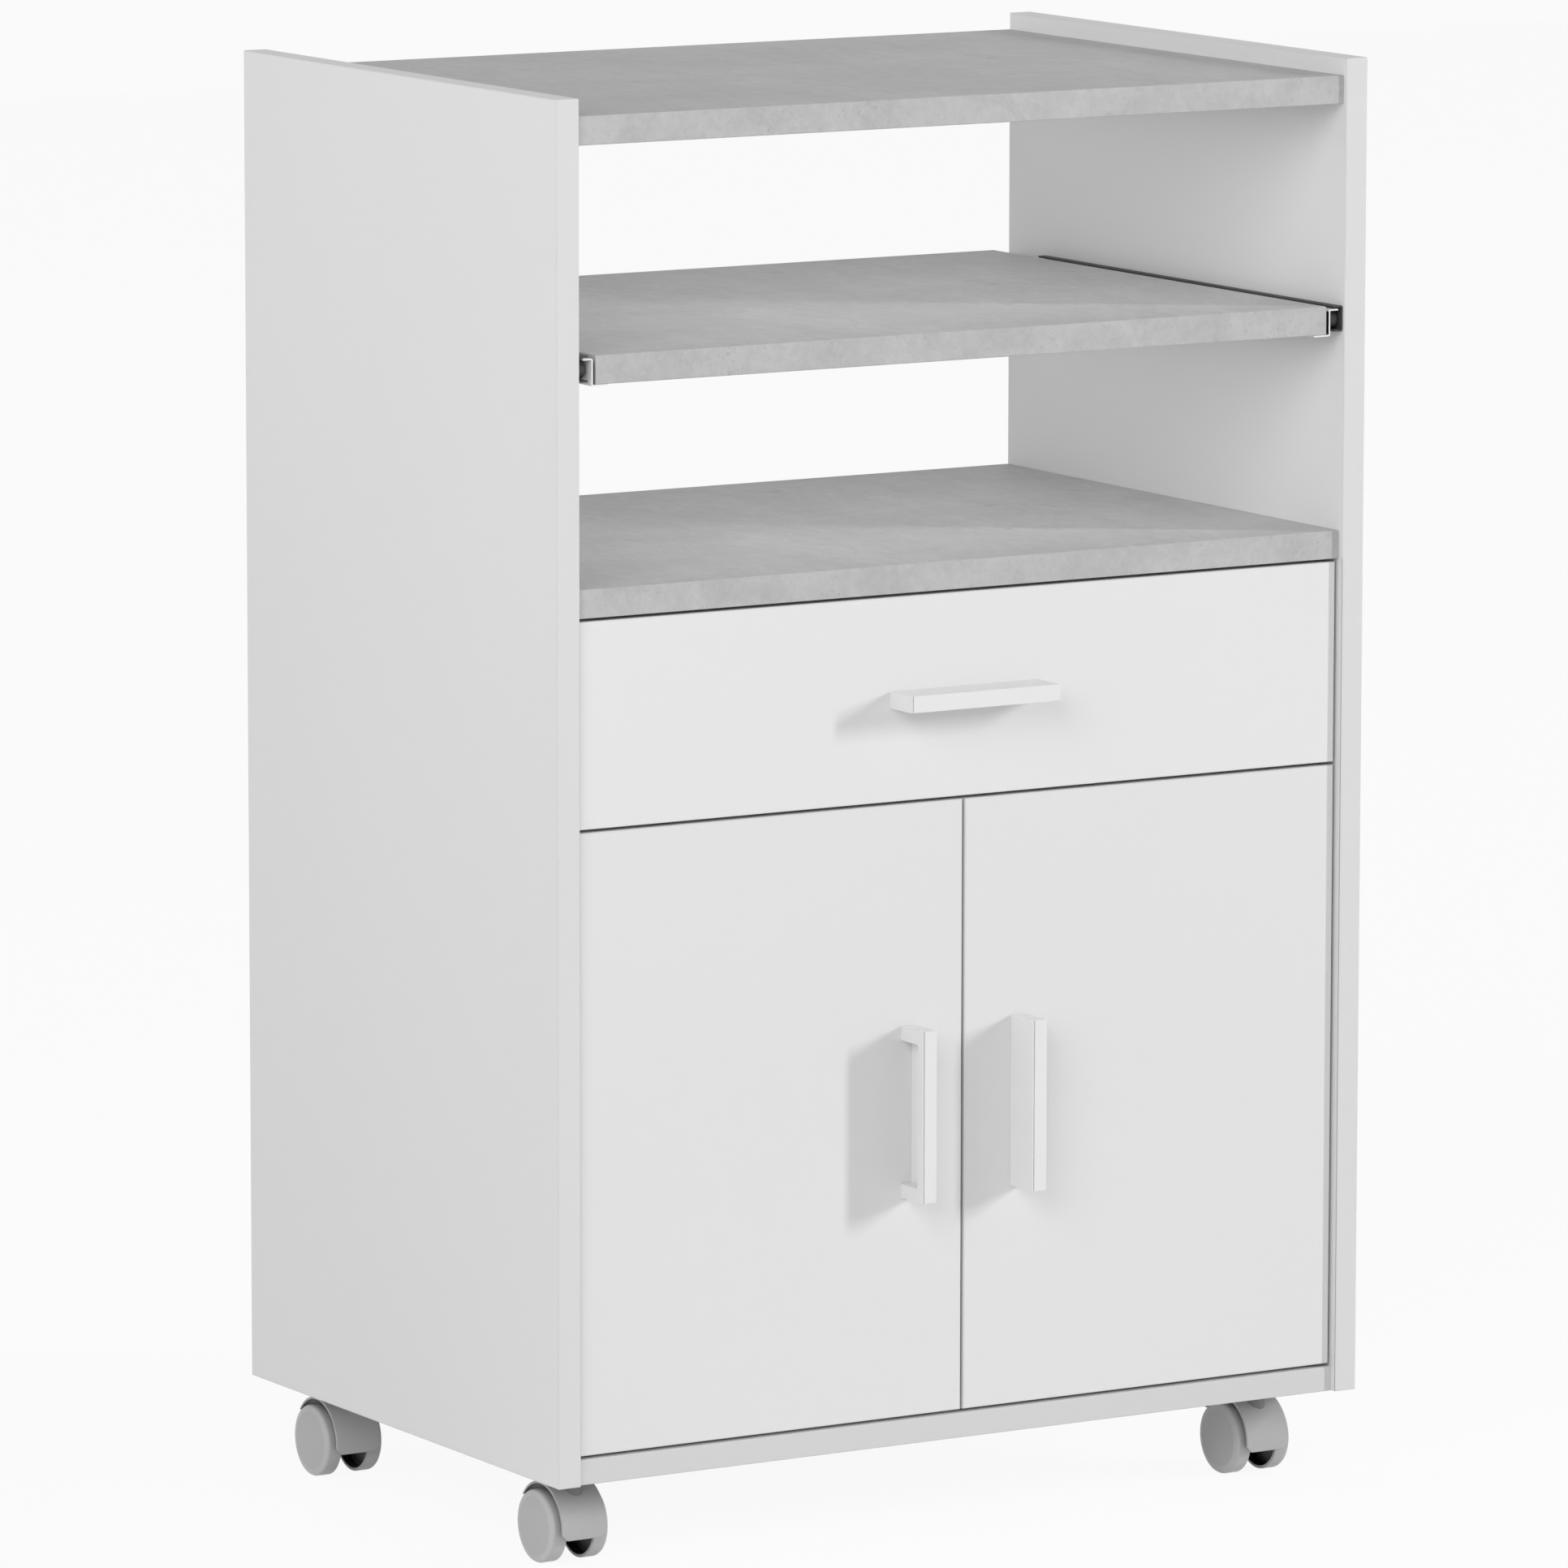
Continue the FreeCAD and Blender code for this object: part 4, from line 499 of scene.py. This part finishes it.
for name, thickAxis in (
    ("left_side_panel", 0), ("right_side_panel", 0), ("bottom_board", 2), ("front_rail", 2),
    ("drawer_front", 1), ("left_door", 1), ("right_door", 1),
):
    faceLevel = whiteBoard["drawerFace" if name == "drawer_front" else "face"]
    eased(name, easing["board"], whiteBoardFinish(name, thickAxis, faceLevel))
stone = stoneFinish()
for name in ("top_board", "sliding_shelf", "worktop"):
    eased(name, easing["board"], stone)
for name in ("drawer_side_left", "drawer_side_right", "drawer_back"):
    eased(name, easing["drawer"])
print("boards eased")


# Casters: hood, axle and two wheels each. A wheel's profile starts in the middle of its
# closed face and goes over the bevel and the tread to the recess, the hub and the bore.

wheel = {
    "profile": [
        (0, 0), (0, 19), (0.9, 22.4), (2.1, 23), (10.8, 23), (10.8, 20.8), (3.6, 20.8),
        (3.6, 6.8), (10.8, 6.8), (10.8, 3.05), (2, 3.05), (2, 0),
    ],
    "rounding": [0, 0.8, 0.5, 0.8, 0.6, 0.3, 0.8, 0.8, 0.4, 0.3, 0, 0],
    # shades: 1 is painted shade on the sides inside the rim, and 0.12 darkens the closed face a little
    "shades": [0.12, 0, 0, 0, 0, 1, 1, 1, 1, 1, 1], "steps": 96, "arc": 5,
}


def wheelShape(centre, faceX, inward):
    # the profile turned about the axle, its closed face outwards
    profile = rounded(wheel["profile"], wheel["rounding"], wheel["arc"])
    points, faces = turned(profile, wheel["steps"])
    return points * [inward, 1, 1] * mm + [faceX, centre[1], centre[2]], faces


def wheelShades():
    # every profile side has a shade, and so has the arc before it; each counts once for a face
    # of the ring that it makes
    sides = np.repeat(wheel["shades"], wheel["arc"])
    around = np.append(sides, [1.0] * (wheel["arc"] - 1))
    return np.repeat(around, wheel["steps"])


hood = {
    "radius": 28.0, "wall": 1.7, "width": 31.8, "middleDrop": 5.4, "cornerDrop": 1.8,
    "cornerWidth": 3.8, "backHeight": 15.8, "along": 41, "around": 49, "rim": 0.4,
}


def hoodShape(centre):
    # a tube about the axle: outside from the front edge over the top to the back edge, then
    # inside back again; the front edge drops lower in the middle than beside the wheels
    half = hood["width"] / 2
    along = np.linspace(-half, half, hood["along"])[:, None]
    rise = np.clip((half - np.abs(along)) / hood["cornerWidth"], 0, 1)
    drop = hood["cornerDrop"] + (hood["middleDrop"] - hood["cornerDrop"]) * rise
    share = np.linspace(0, 1, hood["around"])
    shells = []
    for radius, shares in ((hood["radius"], share), (hood["radius"] - hood["wall"], share[::-1])):
        first = np.arcsin(drop / radius)
        last = np.pi - np.arcsin(hood["backHeight"] / radius)
        angle = -first + (first + last) * shares
        shells.append(np.stack([along + 0 * angle, -radius * np.cos(angle), radius * np.sin(angle)], -1))
    section = np.concatenate(shells, 1)
    rows, columns = section.shape[:2]
    strip = np.array(gridFaces(2, hood["around"]))
    here = np.arange(hood["around"])
    across = np.concatenate([here, columns - 1 - here])
    ends = np.concatenate([across[strip] + row * columns for row in (0, rows - 1)])
    around = gridFaces(rows, columns, closeColumns=True)
    return section.reshape(-1, 3) * mm + centre, around + ends.tolist()


def hoodShades():
    # painted shade: the faces of the inner half of each section are dark; rims and ends are as light
    # outside
    columns = 2 * hood["around"]
    side = (np.arange(columns) >= hood["around"]) & (np.arange(columns) < columns - 1)
    ends = np.zeros(2 * (hood["around"] - 1))
    return np.concatenate([np.tile(side, hood["along"] - 1), ends])


casterCore = {
    "hub": [(-9.4, 0), (-9.4, 6.5), (9.4, 6.5), (9.4, 0)], "hubRounding": [0, 0.6, 0.6, 0],
    "boss": [(27.6, 0), (27.6, 6), (49, 6), (53.6, 5.3), (53.6, 4.05), (31.6, 4.05), (31.6, 0)],
    "bossRounding": [0, 0.6, 3, 0.4, 0, 0, 0], "webHalf": 4.0, "webRadius": 27.1,
    "webEnds": (-19, 6), "webFoot": 2, "webPoints": 9, "stemAhead": 13,
    "axle": [(-18.2, 0), (-18.2, 3), (18.2, 3), (18.2, 0)], "axleRounding": [0, 0.5, 0.5, 0],
}


def hubShape(centre):  # a short round bar about the axle
    points, faces = turned(rounded(casterCore["hub"], casterCore["hubRounding"], 4), 48)
    return points * mm + centre, faces


def bossShape(centre, stemY):  # a round bar about the stem, bored from the top
    points, faces = turned(rounded(casterCore["boss"], casterCore["bossRounding"], 4), 48)
    return laid(points * mm, 2, 1, [centre[0], stemY, 0]), faces


def webShape(centre):
    # an arc about the axle above a level foot, carried across from one face to the other
    y = np.linspace(*casterCore["webEnds"], casterCore["webPoints"])
    z = np.sqrt(casterCore["webRadius"] ** 2 - y ** 2)
    y, z = np.append(y, y[[-1, 0]]), np.append(z, [casterCore["webFoot"]] * 2)
    half = casterCore["webHalf"]
    sections = np.stack([np.stack([0 * y + x, y, z], -1) for x in (-half, half)])
    return carried(sections * mm + centre)


def axleShape(centre):  # a round bar with chamfered ends
    points, faces = turned(rounded(casterCore["axle"], casterCore["axleRounding"], 4), 40)
    return points * mm + centre, faces


for end in ("front", "back"):
    for side in ("left", "right"):
        caster = f"{end}_{side}_caster"
        low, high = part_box(caster + "_axle")
        centre = np.array(low + high) / 2
        stemY = centre[1] - casterCore["stemAhead"] * mm
        cover = piece(
            caster + "_cover", hoodShape(centre), caster, "caster_plastic", [caster + "_hood"],
            shade=hoodShades(),
        )
        bevelled(cover, hood["rim"] * mm, 3, 50)
        for part, shape, finish in (
            ("_hub", hubShape(centre), casterCoreShadeFinish),
            ("_web", webShape(centre), casterCoreShadeFinish),
            ("_boss", bossShape(centre, stemY), stemBossShadeFinish),
        ):
            piece(caster + part, shape, caster, "caster_plastic", finish=finish)
        piece(caster + "_pin", axleShape(centre), caster, "caster_metal", [caster + "_axle"])
        for wheelSide, inward in (("left", 1), ("right", -1)):
            name = f"{caster}_{wheelSide}_wheel"
            low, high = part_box(name)
            shape = wheelShape(centre, low[0] if inward > 0 else high[0], inward)
            body = f"{caster}_{wheelSide}_roll"
            piece(name + "_disc", shape, body, "wheel_plastic", [name], shade=wheelShades())
print("casters made")


# Handles. A handle is a bar on two solid ends; between them it keeps only the bar and one
# wall, so it is open towards the board and along one side. Its face is a strip set in behind
# a narrow lip, along one side or at one end.

handle = {
    "length": 109, "width": 10.5, "projection": 26, "leg": 9, "bar": 6, "wall": 2.5,
    "lip": 0.9, "joint": 0.8, "jointDepth": 1.2, "rounding": 0.2,
}


def handleShape(lip):
    # the outline across, (across, out), is carried along the handle; at the solid ends the
    # hollow's inner corner lies in the outer corner, and the joint lowers the face
    width, out, roof = handle["width"], handle["projection"], handle["projection"] - handle["bar"]
    hollow, length, leg = width - handle["wall"], handle["length"], handle["leg"]
    near, far = handle["lip"], handle["lip"] + handle["joint"]
    first, last = (width - far, width - near) if lip == "far side" else (near, far)
    stations = [0, leg, leg, length - leg, length - leg, length]
    isHollow = [0, 0, 1, 1, 0, 0]
    isLow = [0, 0, 0, 0, 0, 0]
    if lip == "end":
        stations = [0, near, near, far, far] + stations[1:]
        isHollow = [0, 0, 0, 0] + isHollow
        isLow = [0, 0, 1, 1] + isLow
    face = [(0, 1, 0), (first, 1, 0), (first, 1, 1), (last, 1, 1), (last, 1, 0), (width, 1, 0)]
    outline = np.array(face + [(width, 0, 0), (hollow, 0, 0), (0, 0, 0), (0, 0, 0)], float)
    across, high, low = outline.T
    along = np.array(stations, float)[:, None]
    hollowHere, lowered = np.array(isHollow), np.array(isLow)[:, None]
    lowHere = lowered * high if lip == "end" else low * high
    levels = high * out - lowHere * handle["jointDepth"] + 0 * along
    across = across + 0 * along
    across[:, -2] += hollowHere * hollow
    levels[:, -2] += hollowHere * roof
    levels[:, -1] += roof
    return carried(np.stack([along + 0 * across, across, levels], -1))


def handlePiece(name, node, way, lip):
    # the shape's three measures go along, across and out from the node's own box
    low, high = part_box(node)
    points, faces = handleShape(lip)
    along, across, out = points.T * mm
    if way == "lying":  # open below
        place = [low[0] + along, high[1] - out, low[2] + across]
    elif way == "open left":
        place = [low[0] + across, high[1] - out, low[2] + along]
    else:  # open right
        place = [high[0] - across, high[1] - out, low[2] + along]
    made = piece(name, (np.stack(place, -1), faces), bodyOf[node], "white_handle", [node])
    bevelled(made, handle["rounding"] * mm, 2, 30)


handlePiece("drawer_pull", "drawer_handle", "lying", "end")
handlePiece("left_door_pull", "left_door_handle", "open left", "side")
handlePiece("right_door_pull", "right_door_handle", "open right", "far side")
print("handles made")


# Slides: a fixed channel on the panel with a stud in front, a moving strip under the board
# with a stud behind, and a roller on each stud.

slide = {
    "railWall": 1.2, "railBend": 1.5, "runnerWall": 1.0, "runnerBend": 1.3, "edge": 0.22,
    "studRadius": 1.5, "studHead": 2.6, "studHeadThick": 0.6, "studLength": 6.7,
    "rollerInset": 9.0, "frontRollerHeight": 7.3, "rearRollerHeight": 11.0, "notch": 17.4,
    "railDepth": 7.0, "runnerLip": 6.0, "runnerFoot": 12.0, "webInset": 6.7, "bendSteps": 5,
}


def studShape(x, toward, y, z):
    # a round bar with a rounded head at its far end
    length, thick = slide["studLength"], slide["studHeadThick"]
    profile = [
        (-0.2, 0), (-0.2, slide["studRadius"]), (length - thick, slide["studRadius"]),
        (length - thick, slide["studHead"]), (length, slide["studHead"]), (length, 0),
    ]
    points, faces = turned(rounded(profile, [0, 0, 0, 0.1, 0.35, 0], 4), 32)
    return laid(points * mm, 0, toward, [x, y, z]), faces


def railShape(node, side):
    # a C with bent corners, carried from front to back; side is 1 on the left and -1 on the right
    low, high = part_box(node)
    front, back = low[1], high[1]
    wallX = low[0] if side > 0 else high[0]
    height, depth, wall = (high[2] - low[2]) / mm, slide["railDepth"], slide["railWall"]
    corners = [
        (0, 0), (depth, 0), (depth, wall), (wall, wall),
        (wall, height - wall), (depth, height - wall), (depth, height), (0, height),
    ]
    bend, edge = slide["railBend"], slide["edge"]
    inner = bend - wall
    radii = [bend, edge, edge, inner, inner, edge, edge, bend]
    outline = rounded(corners, radii, slide["bendSteps"]) * mm
    sections = np.stack([
        np.stack([wallX + side * outline[:, 0], 0 * outline[:, 0] + y, low[2] + outline[:, 1]], -1)
        for y in (front, back)
    ])
    web = wallX + side * wall * mm
    stud = studShape(
        web, side, front + slide["rollerInset"] * mm, low[2] + slide["frontRollerHeight"] * mm,
    )
    return joined([carried(sections), stud])


def runnerShape(node, side):
    # a Z with bent corners, carried from front to back; behind, the upper flange ends at the web
    low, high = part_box(node)
    front, back = low[1], high[1]
    webX = (low[0] if side > 0 else high[0]) + side * slide["webInset"] * mm
    height, wall = (high[2] - low[2]) / mm, slide["runnerWall"]
    lip, foot = slide["runnerLip"], slide["runnerFoot"]
    corners = [
        (-lip, height), (wall, height), (wall, wall), (foot, wall),
        (foot, 0), (0, 0), (0, height - wall), (-lip, height - wall),
    ]
    bend, edge = slide["runnerBend"], slide["edge"]
    inner = bend - wall
    radii = [edge, bend, inner, edge, edge, bend, inner, edge]
    outline = rounded(corners, radii, slide["bendSteps"]) * mm
    stations = (front, back - slide["notch"] * mm, back - slide["notch"] * mm, back)
    sections = np.stack([
        np.stack([
            webX + side * np.maximum(outline[:, 0], limit), 0 * outline[:, 0] + y,
            low[2] + outline[:, 1],
        ], -1)
        for y, limit in zip(stations, (-1, -1, 0, 0))
    ])
    stud = studShape(
        webX, -side, back - slide["rollerInset"] * mm, low[2] + slide["rearRollerHeight"] * mm,
    )
    return joined([carried(sections), stud])


def runnerShades():
    # painted shade: only the web's face beside the board is dark, the outline's second side after two
    # arcs, in each of the three lengths that the runner is carried along
    steps = slide["bendSteps"]
    outline = np.zeros(8 * steps)
    outline[2 * steps - 1] = 1
    return np.tile(outline, 3)


roller = {"bore": 1.55, "hubRadius": 2.9, "groove": 0.8, "rim": 1.2, "slope": 0.3, "steps": 48}


def rollerShape(solid):
    # a ring's profile with a groove in both faces, turned about the stud
    low, high = solid.min(0), solid.max(0)
    width, radius = (high[0] - low[0]) / mm, (high[2] - low[2]) / 2 / mm
    half = width / 2
    sunk, hub, rim = half - roller["groove"], roller["hubRadius"], radius - roller["rim"]
    face = [
        (half, roller["bore"]), (half, hub), (sunk, hub + 0.2), (sunk, rim - roller["slope"]),
        (half, rim), (half, radius),
    ]
    profile = face + [(-x, r) for x, r in face[::-1]]
    rounding = [0.15, 0.2, 0.2, 0.2, 0.2, 0.5]
    points, faces = turned(rounded(profile, rounding + rounding[::-1], 4), roller["steps"], ring=True)
    return points * mm + (low + high) / 2, faces


for what in ("shelf", "drawer"):
    for side, sign in (("left", 1), ("right", -1)):
        for part, shapeOf in (("rail", railShape), ("runner", runnerShape)):
            node = f"{what}_{part}_{side}"
            shade = runnerShades() if part == "runner" else None
            piece(node + "_strip", shapeOf(node, sign), bodyOf[node], slotOf[node], [node], shade=shade)
    for at in ("front", "rear"):
        node = f"{what}_{at}_rollers"
        shape = joined([rollerShape(solid) for solid in solidsOf(node)])
        piece(node + "_turned", shape, bodyOf[node], "roller_plastic", [node])
print("slides made")


# Screws: a domed head with a pressed cross, on a plain shank.

screw = {
    "dome": 0.32, "cross": 0.62, "crossWidth": 0.15, "crossDepth": 0.55, "rings": 10, "steps": 40,
}


def screwShape(headRadius, headHeight, shankRadius, length):
    # the dome rises with the square of the distance from its edge, and the cross presses it in
    # where a point lies near one of the two lines through the middle
    ring = np.linspace(0, 0.86, screw["rings"]) * headRadius
    dome = screw["dome"] * headHeight * (ring / headRadius) ** 2
    rest = [
        (0.62 * headHeight, 0.98 * headRadius), (headHeight, headRadius), (headHeight, shankRadius),
        (length - 2 * shankRadius, shankRadius), (length - 0.1 * shankRadius, 0.3 * shankRadius),
        (length, 0),
    ]
    profile = np.concatenate([np.stack([dome, ring], -1), rest])
    points, faces = turned(profile, screw["steps"])
    y, z = np.abs(points[:, 1]), np.abs(points[:, 2])
    onTop = np.arange(len(points)) < screw["rings"] * screw["steps"]
    arm = 1 - np.clip((np.minimum(y, z) / headRadius - screw["crossWidth"]) / 0.08, 0, 1)
    reach = 1 - np.clip((np.maximum(y, z) / headRadius - screw["cross"]) / 0.1, 0, 1)
    points[:, 0] += onTop * arm * reach * screw["crossDepth"] * headHeight
    return points, faces


def screwIn(solid):
    # the longest way is the screw's axis, and its head is at the wider end
    low, high = solid.min(0), solid.max(0)
    axis = int(np.argmax(high - low))
    middle = (low + high) / 2
    away = np.linalg.norm(np.delete(solid - middle, axis, 1), axis=1)
    atLow = away[solid[:, axis] < low[axis] + 0.01 * mm].max()
    atHigh = away[solid[:, axis] > high[axis] - 0.01 * mm].max()
    sign = 1 if atLow > atHigh else -1
    headRadius, shankRadius = max(atLow, atHigh), min(atLow, atHigh)
    start = middle.copy()
    start[axis] = low[axis] if sign > 0 else high[axis]
    inHead = np.abs(solid[away > headRadius * 0.98][:, axis] - start[axis])
    points, faces = screwShape(headRadius, inHead.max(), shankRadius, high[axis] - low[axis])
    return laid(points, axis, sign, start), faces


for holder in ("carcass", "shelf", "drawer", "left_door", "right_door"):
    node = holder + "_screws"
    shape = joined([screwIn(solid) for solid in solidsOf(node)])
    piece(node + "_turned", shape, bodyOf[node], "screw_metal", [node])
print("screws made")


# Hinges, caster plates and cam fittings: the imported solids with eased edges.

for node in ("hinge_plates", "hinge_arms", "hinge_pins", "left_hinge_cups", "right_hinge_cups"):
    eased(node, easing["hinge"])
for node in ("caster_plates", "cam_locks", "cam_bolts", "drawer_cams"):
    eased(node, easing["fitting"])
print("hinges and fittings eased")


# Floor and studio. What the camera sees of both is near white; the floor keeps a soft shadow.

floorStage = {"reach": 9.0, "ownLight": 245, "seenLight": 255, "shadowShare": 0.08}
studio = {
    "dome": 0.345, "left": 1.6, "front": 0.4, "right": 0.42, "back": 0.85, "level": 6,
    "seen": 250, "key": 670, "softbox": 100, "bays": 0.28,
}


def seenRays(made):  # 1 for the rays that show the backdrop, 0 for those that light the cart
    rays = made.add("ShaderNodeLightPath", {}, [], "Is Camera Ray")
    glossy = Signal(made, rays.socket.node.outputs["Is Glossy Ray"])
    passing = Signal(made, rays.socket.node.outputs["Is Transmission Ray"])
    return rays.most(glossy).most(passing)


def floorFinish():
    made = Finish("pale floor")
    plain = made.add("ShaderNodeBsdfDiffuse", {}, {"Color": grey(floorStage["ownLight"])})
    seen = made.add("ShaderNodeEmission", {}, {"Color": grey(floorStage["seenLight"])})
    share = seenRays(made) * (1 - floorStage["shadowShare"])
    made.end("ShaderNodeOutputMaterial", made.add("ShaderNodeMixShader", {}, [share, plain, seen]))
    return made.material


floorMesh = bpy.data.meshes.new("floor")
reach = floorStage["reach"]
corners = [(-reach, -reach, 0), (reach, -reach, 0), (reach, reach, 0), (-reach, reach, 0)]
floorMesh.from_pydata(corners, [], [(0, 1, 2, 3)])
floor = bpy.data.objects.new("floor", floorMesh)
floor.data.materials.append(floorFinish())
bpy.context.scene.collection.objects.link(floor)

# The studio's walls are brightest at the cart's own height and fade upwards and downwards,
# each in its own direction; the dome is the same all over.
world = bpy.data.worlds.new("studio")
world.use_nodes = True
bpy.context.scene.world = world
sky = Finish("studio", world.node_tree, "Generated")
toRight, toBack, toTop = sky.parts(sky.place)
besideCart = (1 - toTop * toTop) ** studio["level"]
lit = studio["dome"]
for name, towards in (
    ("left", toRight * -1), ("right", toRight), ("front", toBack * -1), ("back", toBack),
):
    facing = towards.most(0)
    lit = studio[name] * besideCart * facing * facing + lit
ambient = sky.add("ShaderNodeBackground", {}, {"Strength": lit})
shown = sky.add("ShaderNodeBackground", {}, {"Color": grey(studio["seen"])})
whole = sky.add("ShaderNodeMixShader", {}, [seenRays(sky), ambient, shown])
sky.end("ShaderNodeOutputWorld", whole)


def aimed(holder, at, target):
    holder.location = at
    holder.rotation_euler = (Vector(target) - Vector(at)).to_track_quat("-Z", "Y").to_euler()
    bpy.context.scene.collection.objects.link(holder)


def softLight(name, at, target, width, height, power):
    lamp = bpy.data.lights.new(name, "AREA")
    lamp.shape = "RECTANGLE"
    lamp.size, lamp.size_y = width, height
    lamp.energy = power
    holder = bpy.data.objects.new(name, lamp)
    holder.visible_camera = False
    holder.visible_glossy = False
    aimed(holder, at, target)


# a tall narrow lamp far to the right: its shadows are soft above and below, crisp at the sides
softLight("key", (9.5, -6.5, 4.0), (0, 0, 0.5), 0.8, 3.0, studio["key"])
softLight("softbox", (-3.9, -3.3, 3.2), (0.1, -0.1, 0.6), 3, 3, studio["softbox"])
for below in ("top_board", "sliding_shelf"):  # a weak fill in each open bay, from above
    low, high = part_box(below)
    at = ((low[0] + high[0]) / 2, (low[1] + high[1]) / 2, low[2] - 4 * mm)
    softLight("fill under " + below, at, (at[0], at[1], 0), 0.5, 0.36, studio["bays"])

view = {  # angles in degrees, place in mm from the point on the floor under the cart's middle
    "yaw": -30.935, "pitch": -8.794, "roll": 0.074, "place": (-3562.3, -5909.9, 1520.1),
    "focalPixels": 13471, "pictureWidth": 1932,
}
yaw, pitch, roll = (math.radians(view[key]) for key in ("yaw", "pitch", "roll"))
ahead = Vector((-math.sin(yaw) * math.cos(pitch), math.cos(yaw) * math.cos(pitch), math.sin(pitch)))
sideways = Vector((math.cos(yaw), math.sin(yaw), 0))
upright = sideways.cross(ahead)
right = sideways * math.cos(roll) + upright * math.sin(roll)
above = upright * math.cos(roll) - sideways * math.sin(roll)
lens = bpy.data.cameras.new("camera")
lens.sensor_width = 36
lens.lens = view["focalPixels"] / view["pictureWidth"] * 36
lens.clip_end = 60
camera = bpy.data.objects.new("camera", lens)
bpy.context.scene.collection.objects.link(camera)
turn = Matrix((right, above, -ahead)).transposed().to_4x4()
camera.matrix_world = Matrix.Translation(Vector(view["place"]) * mm) @ turn
bpy.context.scene.camera = camera
bpy.context.scene.view_settings.view_transform = "Standard"
print("stage, light and camera made")
